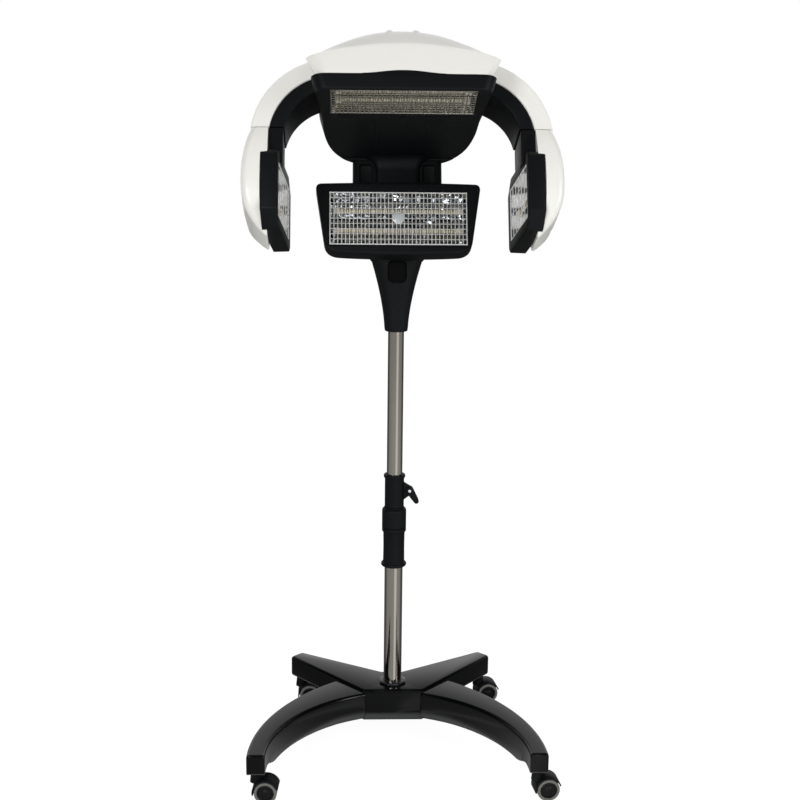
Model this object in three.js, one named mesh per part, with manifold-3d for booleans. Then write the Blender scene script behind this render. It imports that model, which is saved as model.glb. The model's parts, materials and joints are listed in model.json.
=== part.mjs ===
// Hair colour processor: a wheeled stand carries a telescopic mast, a tilting neck joint and a five-lamp head.
// Millimetres, +Z up, the client sits on the -Y side and the floor is Z = 0.
import * as THREE from 'three';
import { mergeVertices } from 'three/addons/utils/BufferGeometryUtils.js';
import Module from 'manifold-3d';

const wasm = await Module();
wasm.setup();

// Clearances
const seatGap = 0.3;
const runGap = 1.2;

// Casters
const wheelDiameter = 48;
const wheelWidth = 17;
const wheelSides = 16;
const wheelEdge = 3;
const hubDiscDiameter = 36;
const hubDiscRecess = 1.5;
const casterWeb = 9;
const casterTrail = 20;
const casterHeight = 66;
const axleDiameter = 8;
const fenderWall = 3;
const stemDiameter = 11;
const stemLength = 26;
const bossDiameter = 22;
const casterHeadings = { front_left: -4, front_right: 6, rear_left: 0, rear_right: 8 };

// Base
const frontSpread = 288;
const frontReach = 330;
const rearSpread = 208;
const rearReach = 148;
const legOverhang = 26;
const frontLegHeight = 43;
const frontLegEndWidth = 38;
const frontOuterRadius = 482;
const frontInnerRadius = 318;
const hubHeight = 48;
const hubFrontWidth = 134;
const hubFrontReach = 50;
const crotchReach = 58;
const crotchWidth = 46;
const rearLegEndWidth = 37;
const rearLegOverhang = 18;
const legEdge = 5;
const legWall = 4;
const stemBoss = 24;
const poleBoss = 56;

// Mast
const lowerTubeDiameter = 40;
const lowerTubeWall = 1.5;
const upperTubeDiameter = 34;
const upperTubeWall = 2;
const socketDepth = 35;
const flangeDiameter = 64;
const flangeHeight = 5;
const sleeveBottom = 394;
const sleeveHeight = 76;
const sleeveDiameter = 47;
const sleeveFlangeDiameter = 56;
const sleeveFlangeHeight = 9;
const lockRingDiameter = 53;
const lockRingHeight = 47;
const lockLip = 15;
const shoulderHeight = 8;
const tubeAboveSleeve = 18;
const collarDiameter = 42;
const collarHeight = 74;
const collarRim = 5;
const collarRimDiameter = 47;
const bushDepth = 40;
const bushFlange = 3;
const upperTubeInsertion = 290;
const upperTubeExposed = 317;
const slideStopHeight = 6;

// Clamp lever
const leverPivotReach = 33;
const leverPivotDrop = 37;
const lugThickness = 9;
const lugRadius = 9;
const leverThickness = 19;
const leverHeadRadius = 8.5;
const leverTipRadius = 5.5;
const leverLength = 28;
const leverLean = 32;
const leverPinDiameter = 5;

// Neck
const neckBottomWidth = 50;
const neckPivotWidth = 106;
const neckTopWidth = 140;
const neckPivotDepth = 68;
const neckPivotRise = 147;
const neckTopRise = 18;
const neckSocketDepth = 52;
const neckSocketDiameter = 40;
const knuckleWidth = 58;
const knuckleDiameter = 36;
const stalkRear = 15;
const stalkFront = 20;
const buttonWall = 2.3;
const tiltPinDiameter = 14;
const buttonWidth = 38;
const buttonHeight = 46;
const buttonDrop = 16;
const buttonTravel = 3;
const buttonDepth = 6;
const glandDiameter = 16;
const glandLength = 12;
const glandDrop = 70;
const glandProud = 4;

// Head, measured from the tilt axis: forward is towards the client, up is square to the hood underside
const headTilt = 25;
const hoodFront = 425;
const hoodRear = 40;
const hoodFrontWidth = 330;
const hoodRearWidth = 187;
const hoodStraight = 170;
const hoodCorner = 22;
const hoodUnderside = 203.5;
const panHeight = 31;
const panWall = 4;
const hoodRise = 110.5;
const hoodBulge = 1.12;
const hoodTaper = 12;
const panFlare = 10;
const hoodWall = 3;
const columnFront = 59;
const columnRear = 12;
const columnBottom = 44;
const spineWidth = 90;
const spineProud = 12;
const rearCoverDepth = 34;
const rearCoverEdge = 16;
const rearCoverCorner = 20;

// Lamps
const tubeDiameter = 9;
const tubeSpacing = 42;
const grilleWire = 2;
const grilleDepth = 3;
const reflectorWall = 1.2;
const topLampForward = 362;
const topLampWidth = 278;
const topLampLength = 110;
const topLampDepth = 27;
const napeFace = 104;
const napeDepth = 45;
const napeTopWidth = 339;
const napeBottomWidth = 297;
const napeHeight = 151;
const napeCentre = 61;
const napeCorner = 12;
const napeCrown = 5;
const napeLampWidth = 284;
const napeLampHeight = 114;
const napeLampDepth = 38;
const sensorDiameter = 25;
const sensorHeight = 5;

// Arms and side lamp units
const armCentreOut = 124;
const armCentreUp = 148;
const armOuterRadius = 170;
const armSplitRadius = 134;
const armInnerRadius = 106;
const armFront = 312;
const armDepth = 112;
const armSeam = 8.5;
const armEdge = 6;
const hingeInset = 6;
const hingePinDiameter = 5;
const hingeKnuckle = 36;
const sideFace = 228.5;
const sideToe = 6;
const sideThickness = 33;
const sideLength = 188;
const sideHeight = 150;
const sideBottom = -34;
const sideForward = 256;
const sideCorner = 30;
const sideLampLength = 150;
const sideLampHeight = 108;
const sideLampDepth = 30;
const sideCoverOut = 308;
const sideCurlOut = 46;
const sideCurlEnds = 36;
const sideDraw = 0.35;
const sideCoverCorner = 14;
const sideCoverBottom = -42;
const sideCoverWall = 5;

// Controls
const panelWidth = 120;
const panelHeight = 74;
const panelThickness = 3;
const panelUp = 150;
const switchWidth = 22;
const switchHeight = 14;
const switchDepth = 8;
const switchProud = 2;
const switchFloorGap = 0.9;
const switchUp = 84;

const degrees = THREE.MathUtils.degToRad;

const finishes = {
  blackPaint: { color: 0x121314, roughness: 0.25, metalness: 0.1 },
  blackPlastic: { color: 0x1d1f22, roughness: 0.45, metalness: 0 },
  whitePlastic: { color: 0xefeeea, roughness: 0.25, metalness: 0 },
  chrome: { color: 0xc9c7c2, roughness: 0.12, metalness: 1 },
  steel: { color: 0xb4b4b2, roughness: 0.35, metalness: 1 },
  tread: { color: 0x77777a, roughness: 0.7, metalness: 0 },
  mirror: { color: 0xdfe1e2, roughness: 0.15, metalness: 1 },
  quartz: { color: 0xe9e4d6, roughness: 0.1, metalness: 0 },
  nylon: { color: 0x35373a, roughness: 0.6, metalness: 0 },
  panel: { color: 0x3b4047, roughness: 0.5, metalness: 0 },
};

// Solid helpers

function solid(geometry) {
  const bare = geometry.clone();
  bare.deleteAttribute('normal');
  bare.deleteAttribute('uv');
  const merged = mergeVertices(bare, 1e-4);
  const corners = merged.index.array;
  const kept = [];
  for (let i = 0; i < corners.length; i += 3) {
    const [a, b, c] = [corners[i], corners[i + 1], corners[i + 2]];
    if (a !== b && b !== c && c !== a) kept.push(a, b, c);
  }
  const position = merged.attributes.position;
  const [p, q, r] = [new THREE.Vector3(), new THREE.Vector3(), new THREE.Vector3()];
  let volume = 0;
  for (let i = 0; i < kept.length; i += 3) {
    p.fromBufferAttribute(position, kept[i]);
    q.fromBufferAttribute(position, kept[i + 1]);
    r.fromBufferAttribute(position, kept[i + 2]);
    volume += p.dot(q.cross(r));
  }
  if (volume < 0) kept.reverse();
  return new wasm.Manifold(new wasm.Mesh({
    numProp: 3,
    vertProperties: Float32Array.from(position.array),
    triVerts: Uint32Array.from(kept),
  }));
}

function geometryOf(body) {
  const mesh = body.getMesh();
  const geometry = new THREE.BufferGeometry();
  geometry.setAttribute('position', new THREE.BufferAttribute(Float32Array.from(mesh.vertProperties), 3));
  geometry.setIndex(new THREE.BufferAttribute(Uint32Array.from(mesh.triVerts), 1));
  geometry.computeVertexNormals();
  return geometry;
}

function join(first, ...others) {
  return geometryOf(others.reduce((body, other) => body.add(solid(other)), solid(first)));
}

function cut(first, ...tools) {
  return geometryOf(tools.reduce((body, tool) => body.subtract(solid(tool)), solid(first)));
}

function part(group, name, geometry, finish) {
  const mesh = new THREE.Mesh(geometryOf(solid(geometry)), new THREE.MeshStandardMaterial(finishes[finish]));
  mesh.name = name;
  group.add(mesh);
  return mesh;
}

// Revolves (radius, height) pairs about Z
function revolve(profile, sides, phase = 0) {
  const points = profile.map(([radius, height]) => new THREE.Vector2(radius, height));
  return new THREE.LatheGeometry(points, sides, phase).rotateX(Math.PI / 2);
}

function ring(outer, inner, bottom, top, sides) {
  return revolve([[inner, bottom], [outer, bottom], [outer, top], [inner, top], [inner, bottom]], sides);
}

function rod(diameter, length, sides) {
  return new THREE.CylinderGeometry(diameter / 2, diameter / 2, length, sides);
}

const rodAlongX = (diameter, length, sides) => rod(diameter, length, sides).rotateZ(Math.PI / 2);
const rodAlongY = (diameter, length, sides) => rod(diameter, length, sides);
const rodAlongZ = (diameter, length, sides) => rod(diameter, length, sides).rotateX(Math.PI / 2);
const box = (x, y, z) => new THREE.BoxGeometry(x, y, z);

// Extrudes a shape to a total height with its edges rounded
function slab(shape, height, edge, steps = 2, curveSegments = 8) {
  return new THREE.ExtrudeGeometry(shape, {
    depth: height - 2 * edge,
    bevelEnabled: edge > 0,
    bevelThickness: edge,
    bevelSize: edge,
    bevelOffset: -edge,
    bevelSegments: steps,
    curveSegments,
  }).translate(0, 0, edge);
}

function roundedRectangle(width, height, radius) {
  const [x, y] = [width / 2, height / 2];
  const shape = new THREE.Shape();
  shape.moveTo(x, -y + radius);
  shape.absarc(x - radius, y - radius, radius, 0, Math.PI / 2);
  shape.absarc(-x + radius, y - radius, radius, Math.PI / 2, Math.PI);
  shape.absarc(-x + radius, -y + radius, radius, Math.PI, Math.PI * 1.5);
  shape.absarc(x - radius, -y + radius, radius, Math.PI * 1.5, Math.PI * 2);
  return shape;
}

// Joins rings of equally many points into a closed skin with fan caps
function loft(rings) {
  const count = rings[0].length;
  const points = rings.flat();
  const faces = [];
  for (let i = 0; i + 1 < rings.length; i += 1) {
    for (let j = 0; j < count; j += 1) {
      const [a, b] = [i * count + j, i * count + ((j + 1) % count)];
      faces.push(a, b, b + count, a, b + count, a + count);
    }
  }
  const middle = (list) => list.reduce((sum, p) => sum.add(p), new THREE.Vector3()).divideScalar(list.length);
  const first = points.push(middle(rings[0])) - 1;
  const last = points.push(middle(rings.at(-1))) - 1;
  const end = (rings.length - 1) * count;
  for (let j = 0; j < count; j += 1) {
    const next = (j + 1) % count;
    faces.push(first, next, j, last, end + j, end + next);
  }
  const geometry = new THREE.BufferGeometry().setFromPoints(points);
  geometry.setIndex(faces);
  return geometry;
}

const mirrored = (geometry) => geometry.clone().scale(-1, 1, 1);
const facingSide = (side, geometry) => (side > 0 ? geometry : mirrored(geometry));
const sides = { left: -1, right: 1 };

const assembly = new THREE.Group();
const stand = new THREE.Group();
assembly.add(stand);

// Casters

const wheelRadius = wheelDiameter / 2;
const axleHeight = wheelRadius * Math.cos(Math.PI / wheelSides);
const casterWidth = 2 * wheelWidth + casterWeb;
const wheelCentre = (casterWeb + wheelWidth) / 2;

function wheel(side) {
  const half = wheelWidth / 2;
  const disc = hubDiscDiameter / 2;
  const bore = axleDiameter / 2 + seatGap;
  const profile = [
    [0, half - hubDiscRecess],
    [disc, half - hubDiscRecess],
    [disc + hubDiscRecess, half],
    [wheelRadius - wheelEdge, half],
    [wheelRadius, half - wheelEdge],
    [wheelRadius, -half + seatGap],
    [bore, -half + seatGap],
    [bore, half - wheelEdge - seatGap],
    [0, half - wheelEdge - seatGap],
  ];
  const upright = revolve(profile, wheelSides, Math.PI / wheelSides).rotateX(Math.PI / 2);
  const facing = side < 0 ? upright : upright.rotateZ(Math.PI);
  return facing.translate(casterTrail, side * wheelCentre, axleHeight);
}

function casterHood() {
  const inner = wheelRadius + runGap;
  const outer = inner + fenderWall;
  const [from, to] = [degrees(20), degrees(190)];
  const fender = new THREE.Shape();
  fender.absarc(0, 0, outer, from, to);
  fender.absarc(0, 0, inner, to, from, true);
  const web = new THREE.Shape();
  web.absarc(0, 0, outer, from, to);
  web.lineTo(-axleDiameter, -axleDiameter);
  web.lineTo(axleDiameter, -axleDiameter);
  const upright = (shape, width) =>
    slab(shape, width, 0, 1, 5).translate(0, 0, -width / 2).rotateX(Math.PI / 2).translate(casterTrail, 0, axleHeight);
  const bossTop = casterHeight - seatGap;
  const bossFoot = axleHeight + wheelRadius / 2;
  const boss = rodAlongZ(bossDiameter, bossTop - bossFoot, 10).translate(0, 0, (bossTop + bossFoot) / 2);
  const stem = rodAlongZ(stemDiameter, stemLength + wheelEdge, 10);
  stem.translate(0, 0, casterHeight + (stemLength - wheelEdge) / 2);
  const roomSides = 12;
  const room = rodAlongY((2 * inner) / Math.cos(Math.PI / roomSides), casterWidth, roomSides);
  const axle = rodAlongY(axleDiameter, casterWidth - 4 * wheelEdge, 10).translate(casterTrail, 0, axleHeight);
  const neck = cut(join(boss, stem), room.translate(casterTrail, 0, axleHeight));
  return join(neck, upright(fender, casterWidth), upright(web, casterWeb), axle);
}

const casterPlaces = {
  front_left: [-frontSpread, -frontReach],
  front_right: [frontSpread, -frontReach],
  rear_left: [-rearSpread, rearReach],
  rear_right: [rearSpread, rearReach],
};
for (const [place, [x, y]] of Object.entries(casterPlaces)) {
  const caster = new THREE.Group();
  caster.position.set(x, y, 0);
  caster.rotation.z = degrees(casterHeadings[place]);
  stand.add(caster);
  part(caster, `caster_hood_${place}`, casterHood(), 'blackPlastic');
  part(caster, `caster_wheel_near_${place}`, wheel(-1), 'tread');
  part(caster, `caster_wheel_far_${place}`, wheel(1), 'tread');
}

// Base: a hub casting with straight rear legs, and two curved front legs butted against it

const hubTop = casterHeight + hubHeight;
const rearEnd = new THREE.Vector2(rearSpread, rearReach);
const rearAlong = new THREE.Vector2(1, 1).normalize();
const rearAcross = new THREE.Vector2(1, -1).normalize();
const rearTip = rearEnd.clone().addScaledVector(rearAlong, rearLegOverhang);
const rearOuterTip = rearTip.clone().addScaledVector(rearAcross, rearLegEndWidth / 2);
const rearInnerTip = rearTip.clone().addScaledVector(rearAcross, -rearLegEndWidth / 2);
const hubCorner = new THREE.Vector2(hubFrontWidth / 2, -hubFrontReach);

function stemSocket(x, y) {
  const depth = stemLength + runGap;
  return rodAlongZ(stemDiameter + 4 * seatGap, depth * 2, 10).translate(x, y, casterHeight);
}

// The hollow under a leg, around the bosses that carry the casters and the pole
function legHollow(plan, height, bosses) {
  const hollow = slab(plan, height, 0, 1, 4).translate(0, 0, casterHeight - legWall);
  const posts = bosses.map(([x, y, diameter]) => rodAlongZ(diameter, height * 3, 12).translate(x, y, casterHeight));
  return cut(hollow, ...posts);
}

// Moves each edge of an anticlockwise outline inwards
function insetOutline(points, inset) {
  return points.map((point, i) => {
    const before = points.at(i - 1);
    const after = points[(i + 1) % points.length];
    const first = point.clone().sub(before).normalize();
    const second = after.clone().sub(point).normalize();
    const inward = new THREE.Vector2(-first.y - second.y, first.x + second.x).normalize();
    const square = inward.dot(new THREE.Vector2(-first.y, first.x));
    return point.clone().addScaledVector(inward, inset / square);
  });
}

function hubPlan(inset) {
  const half = [hubCorner, rearOuterTip, rearInnerTip, new THREE.Vector2(crotchWidth / 2, crotchReach)];
  const other = half.map((p) => new THREE.Vector2(-p.x, p.y)).reverse();
  return new THREE.Shape(insetOutline([...half, ...other], inset));
}

const tubeSocket = rodAlongZ(lowerTubeDiameter + 2 * seatGap, socketDepth * 2, 20).translate(0, 0, hubTop);
const hubBosses = [[rearSpread, rearReach, stemBoss], [-rearSpread, rearReach, stemBoss], [0, 0, poleBoss]];
part(
  stand,
  'base_hub',
  cut(
    slab(hubPlan(0), hubHeight, legEdge).translate(0, 0, casterHeight),
    legHollow(hubPlan(legWall), hubHeight, hubBosses),
    tubeSocket,
    stemSocket(rearSpread, rearReach),
    stemSocket(-rearSpread, rearReach),
  ),
  'blackPaint',
);

// Where a circle meets the hub's slanting side, on the far side from the client
function meetHub(centre, radius, offset) {
  const along = rearOuterTip.clone().sub(hubCorner).normalize();
  const out = new THREE.Vector2(along.y, -along.x);
  const start = hubCorner.clone().addScaledVector(out, offset).sub(centre);
  const b = start.dot(along);
  const c = start.lengthSq() - radius * radius;
  return start.addScaledVector(along, -b + Math.sqrt(Math.max(b * b - c, 0))).add(centre);
}

// The right front leg in plan: an outer and an inner arc from the end face back to the hub's side
function frontLegPlan(inset) {
  const endY = -frontReach - legOverhang + inset;
  const [outer, inner] = [frontOuterRadius - inset, frontInnerRadius + inset];
  const outerCentre = new THREE.Vector2(frontSpread + frontLegEndWidth / 2 - frontOuterRadius, endY);
  const innerCentre = new THREE.Vector2(frontSpread - frontLegEndWidth / 2 - frontInnerRadius, endY);
  const outerRoot = meetHub(outerCentre, outer, seatGap + inset);
  const innerRoot = meetHub(innerCentre, inner, seatGap + inset);
  const angle = (point, centre) => Math.atan2(point.y - centre.y, point.x - centre.x);
  const shape = new THREE.Shape();
  shape.moveTo(innerCentre.x + inner, endY);
  shape.absarc(outerCentre.x, outerCentre.y, outer, 0, angle(outerRoot, outerCentre));
  shape.absarc(innerCentre.x, innerCentre.y, inner, angle(innerRoot, innerCentre), 0, true);
  return shape;
}

const frontLeg = cut(
  slab(frontLegPlan(0), frontLegHeight, legEdge, 2, 5).translate(0, 0, casterHeight),
  legHollow(frontLegPlan(legWall), frontLegHeight, [[frontSpread, -frontReach, stemBoss]]),
  stemSocket(frontSpread, -frontReach),
);
part(stand, 'front_leg_left', mirrored(frontLeg), 'blackPaint');
part(stand, 'front_leg_right', frontLeg, 'blackPaint');

// Mast

const lowerBore = lowerTubeDiameter / 2 - lowerTubeWall;
const lowerTubeTop = sleeveBottom + sleeveHeight + shoulderHeight + tubeAboveSleeve;
const tubeFoot = hubTop - socketDepth + seatGap;
const round = 20;
const slip = lowerTubeDiameter / 2 + seatGap;
const slide = upperTubeDiameter / 2 + seatGap;

const flangePlate = rodAlongZ(flangeDiameter, flangeHeight - seatGap, 8).rotateZ(Math.PI / 8);
const flangeHole = rodAlongZ(2 * slip, flangeHeight * 2, round);
const footFlange = cut(flangePlate, flangeHole).translate(0, 0, hubTop + (flangeHeight + seatGap) / 2);
part(stand, 'foot_flange', footFlange, 'steel');
part(stand, 'lower_tube', ring(lowerTubeDiameter / 2, lowerBore, tubeFoot, lowerTubeTop, round), 'chrome');

const sleeveTop = sleeveBottom + sleeveHeight;
const flangeBulge = sleeveFlangeDiameter / 2;
part(
  stand,
  'lower_sleeve',
  revolve([
    [slip, sleeveBottom - sleeveFlangeHeight / 2],
    [flangeBulge, sleeveBottom - sleeveFlangeHeight / 2],
    [flangeBulge - 2, sleeveBottom + sleeveFlangeHeight / 2],
    [sleeveDiameter / 2, sleeveBottom + sleeveFlangeHeight / 2 + 2],
    [sleeveDiameter / 2, sleeveTop - 2],
    [lockRingDiameter / 2, sleeveTop],
    [lockRingDiameter / 2, sleeveTop + shoulderHeight],
    [slip, sleeveTop + shoulderHeight],
    [slip, sleeveBottom - sleeveFlangeHeight / 2],
  ], round),
  'blackPlastic',
);

const ringBottom = sleeveTop + shoulderHeight + seatGap;
const ringTop = sleeveTop + shoulderHeight + lockRingHeight;
part(
  stand,
  'lock_ring',
  revolve([
    [slip, ringBottom],
    [lockRingDiameter / 2 - 2, ringBottom],
    [lockRingDiameter / 2, ringBottom + 2],
    [lockRingDiameter / 2, ringTop - 8],
    [collarDiameter / 2 + 1, ringTop],
    [slide, ringTop],
    [slide, ringTop - lockLip],
    [slip, ringTop - lockLip],
    [slip, ringBottom],
  ], round),
  'blackPlastic',
);

part(
  stand,
  'guide_bush',
  revolve([
    [slide, lowerTubeTop - bushDepth],
    [lowerBore - seatGap, lowerTubeTop - bushDepth],
    [lowerBore - seatGap, lowerTubeTop + seatGap],
    [lowerTubeDiameter / 2, lowerTubeTop + seatGap],
    [lowerTubeDiameter / 2, lowerTubeTop + bushFlange],
    [slide, lowerTubeTop + bushFlange],
    [slide, lowerTubeTop - bushDepth],
  ], round),
  'nylon',
);

const collarBottom = ringTop + seatGap;
const collarTop = ringTop + collarHeight;
const leverPivotHeight = collarTop - leverPivotDrop;

function clampCollar() {
  const wall = collarDiameter / 2;
  const body = revolve([
    [slide, collarBottom],
    [wall, collarBottom],
    [wall, collarTop - collarRim * 2],
    [collarRimDiameter / 2, collarTop - collarRim],
    [collarRimDiameter / 2, collarTop - 2],
    [collarRimDiameter / 2 - 2, collarTop],
    [slide, collarTop],
    [slide, collarBottom],
  ], round);
  const lug = new THREE.Shape();
  lug.moveTo(slide + 1, leverPivotHeight + lugRadius * 2.2);
  lug.lineTo(slide + 1, leverPivotHeight - lugRadius * 2.4);
  lug.lineTo(wall + 1, leverPivotHeight - lugRadius * 2.2);
  lug.absarc(leverPivotReach, leverPivotHeight, lugRadius, degrees(-55), degrees(65));
  const tongue = slab(lug, lugThickness, 0, 1, 6).rotateX(Math.PI / 2).translate(0, lugThickness / 2, 0);
  const bore = rodAlongZ(2 * slide, collarHeight * 3, round).translate(0, 0, collarTop);
  const pinHole = rodAlongY(leverPinDiameter + 2 * seatGap, lugThickness * 2, 10);
  return cut(join(body, tongue), bore, pinHole.translate(leverPivotReach, 0, leverPivotHeight));
}

part(stand, 'clamp_collar', clampCollar(), 'blackPlastic');

function clampLever() {
  const outline = new THREE.Shape();
  outline.absarc(0, 0, leverHeadRadius, 0, Math.PI);
  outline.absarc(0, -leverLength, leverTipRadius, Math.PI, Math.PI * 2);
  const blade = slab(outline, leverThickness, 1.5, 1, 4).translate(0, 0, -leverThickness / 2);
  const fork = lugRadius * 1.6 + runGap;
  const slot = new THREE.Shape();
  slot.absarc(0, 0, fork, 0, Math.PI * 2);
  const room = slab(slot, lugThickness + 2 * runGap, 0, 1, 7).translate(0, 0, -lugThickness / 2 - runGap);
  const pinHole = rodAlongZ(leverPinDiameter + 2 * seatGap, leverThickness * 2, 10);
  return cut(blade, room, pinHole).rotateX(Math.PI / 2).rotateY(degrees(-leverLean));
}

part(stand, 'clamp_lever', clampLever().translate(leverPivotReach, 0, leverPivotHeight), 'blackPlastic');
const pin = rodAlongY(leverPinDiameter, leverThickness + 1, 10);
part(stand, 'lever_pin', pin.translate(leverPivotReach, 0, leverPivotHeight), 'steel');

const neckBottom = collarTop + upperTubeExposed;
const upperTubeTop = neckBottom + neckSocketDepth;
const upperTubeFoot = collarTop - upperTubeInsertion;
const upperBore = upperTubeDiameter / 2 - upperTubeWall;
const slideFoot = upperTubeFoot - slideStopHeight;
part(
  stand,
  'upper_tube',
  revolve([
    [0, slideFoot],
    [lowerBore - seatGap, slideFoot],
    [lowerBore - seatGap, upperTubeFoot],
    [upperTubeDiameter / 2, upperTubeFoot],
    [upperTubeDiameter / 2, upperTubeTop],
    [upperBore, upperTubeTop],
    [upperBore, upperTubeFoot],
    [0, upperTubeFoot],
  ], round),
  'chrome',
);

// Neck

const pivotHeight = neckBottom + neckPivotRise;
const neckTop = pivotHeight + neckTopRise;

// An oval section of the neck at a height
function oval(width, depth, height, count = 16) {
  return Array.from({ length: count }, (unused, i) => {
    const turn = (2 * Math.PI * i) / count;
    const [c, s] = [Math.cos(turn), Math.sin(turn)];
    const square = 0.86;
    return new THREE.Vector3(
      (width / 2) * Math.sign(c) * Math.abs(c) ** square,
      (depth / 2) * Math.sign(s) * Math.abs(s) ** square,
      height,
    );
  });
}

function neckDepth(share) {
  return neckBottomWidth + (neckPivotDepth - neckBottomWidth) * share;
}

function neckShell() {
  const flare = (share) => neckBottomWidth + (neckPivotWidth - neckBottomWidth) * share ** 1.6;
  const rings = [oval(neckBottomWidth - 4, neckBottomWidth - 4, neckBottom)];
  for (const share of [0.03, 0.25, 0.45, 0.62, 0.78, 0.9, 1]) {
    rings.push(oval(flare(share), neckDepth(share), neckBottom + neckPivotRise * share));
  }
  rings.push(oval((neckTopWidth + neckPivotWidth) / 2, neckPivotDepth - 4, pivotHeight + neckTopRise * 0.55));
  rings.push(oval(neckTopWidth, neckPivotDepth - neckTopRise * 0.75, neckTop));
  const socketHeight = neckSocketDepth + runGap;
  const socket = rodAlongZ(neckSocketDiameter + 2 * seatGap, socketHeight * 2, round);
  const slotFoot = pivotHeight - knuckleDiameter / 2 - runGap;
  const slotHeight = neckTop - slotFoot + neckTopRise;
  const slot = box(knuckleWidth + 2 * runGap, neckPivotDepth, slotHeight);
  const pinHole = rodAlongX(tiltPinDiameter + 2 * seatGap, neckTopWidth * 2, 16).translate(0, 0, pivotHeight);
  const recess = slab(roundedRectangle(buttonWidth + 4 * seatGap, buttonHeight + 4 * seatGap, 10), neckPivotDepth, 0, 1, 2);
  recess.rotateX(Math.PI / 2).translate(0, -buttonSeat, buttonCentre);
  const gland = rodAlongY(glandDiameter + 2 * seatGap, neckPivotDepth, 14);
  return cut(
    loft(rings),
    socket.translate(0, 0, neckBottom),
    slot.translate(0, neckPivotDepth / 2 - slotFront, slotFoot + slotHeight / 2),
    pinHole,
    recess,
    gland.translate(0, glandSeat + neckPivotDepth / 2, pivotHeight - glandDrop),
  );
}

const slotFront = stalkFront + runGap;
const buttonCentre = pivotHeight - buttonDrop;
const buttonSeat = slotFront + buttonWall;
const glandShare = 1 - glandDrop / neckPivotRise;
const glandSeat = neckDepth(glandShare) / 2 - glandLength + glandProud;

part(stand, 'neck_shell', neckShell(), 'blackPlastic');
const swivelTop = upperTubeTop - seatGap;
part(
  stand,
  'swivel_bush',
  ring(neckSocketDiameter / 2, slide, neckBottom + seatGap, swivelTop, round),
  'nylon',
);
const tiltPinLength = neckPivotWidth - 6;
part(stand, 'tilt_pin', rodAlongX(tiltPinDiameter, tiltPinLength, 16).translate(0, 0, pivotHeight), 'steel');

const buttonFace = slab(roundedRectangle(buttonWidth, buttonHeight, 9), buttonDepth, 2, 1, 2);
buttonFace.rotateX(Math.PI / 2).translate(0, -buttonSeat - buttonTravel - 2 * seatGap, buttonCentre);
part(stand, 'tilt_button', buttonFace, 'blackPlastic');

part(
  stand,
  'cord_gland',
  revolve([
    [0, 0],
    [glandDiameter / 2, 0],
    [glandDiameter / 2, glandLength],
    [glandDiameter / 4, glandLength],
    [glandDiameter / 4, 4],
    [0, 4],
  ], 14).rotateX(-Math.PI / 2).translate(0, glandSeat + seatGap, pivotHeight - glandDrop),
  'nylon',
);

// Head: turned about the tilt axis, with the client ahead on -Y and the hood above

const head = new THREE.Group();
head.position.z = pivotHeight;
head.rotation.x = -degrees(headTilt);
stand.add(head);

// The hood's plan: straight across the front, sides that taper, then draw in to the column
function hoodPlan(inset) {
  const half = hoodFrontWidth / 2 - inset;
  const rear = hoodRearWidth / 2 - inset;
  const front = hoodFront - inset;
  const back = hoodRear + inset;
  const turn = hoodFront - hoodStraight;
  const bend = turn - back;
  const waist = half - hoodTaper;
  const shape = new THREE.Shape();
  shape.moveTo(rear, -back);
  shape.bezierCurveTo(rear + (waist - rear) * 0.55, -back - bend * 0.1, waist, -turn + bend * 0.62, waist, -turn);
  shape.absarc(half - hoodCorner, -front + hoodCorner, hoodCorner, 0, -Math.PI / 2, true);
  shape.absarc(-half + hoodCorner, -front + hoodCorner, hoodCorner, -Math.PI / 2, -Math.PI, true);
  shape.lineTo(-waist, -turn);
  shape.bezierCurveTo(-waist, -turn + bend * 0.62, -rear - (waist - rear) * 0.55, -back - bend * 0.1, -rear, -back);
  return shape;
}

const panTop = hoodUnderside + panHeight;
const flareRatio = 1 + (2 * panFlare) / hoodFrontWidth;

// The pan under the hood, wider at its top
function panBody(inset, bottom, top) {
  const flare = (up) => 1 + ((flareRatio - 1) * (up - hoodUnderside)) / panHeight;
  const outline = hoodPlan(inset).getPoints(4);
  return loft([bottom, top].map((up) => outline.map((p) => new THREE.Vector3(p.x * flare(up), p.y, up))));
}

const columnHeight = hoodUnderside + panWall - columnBottom;

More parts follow.
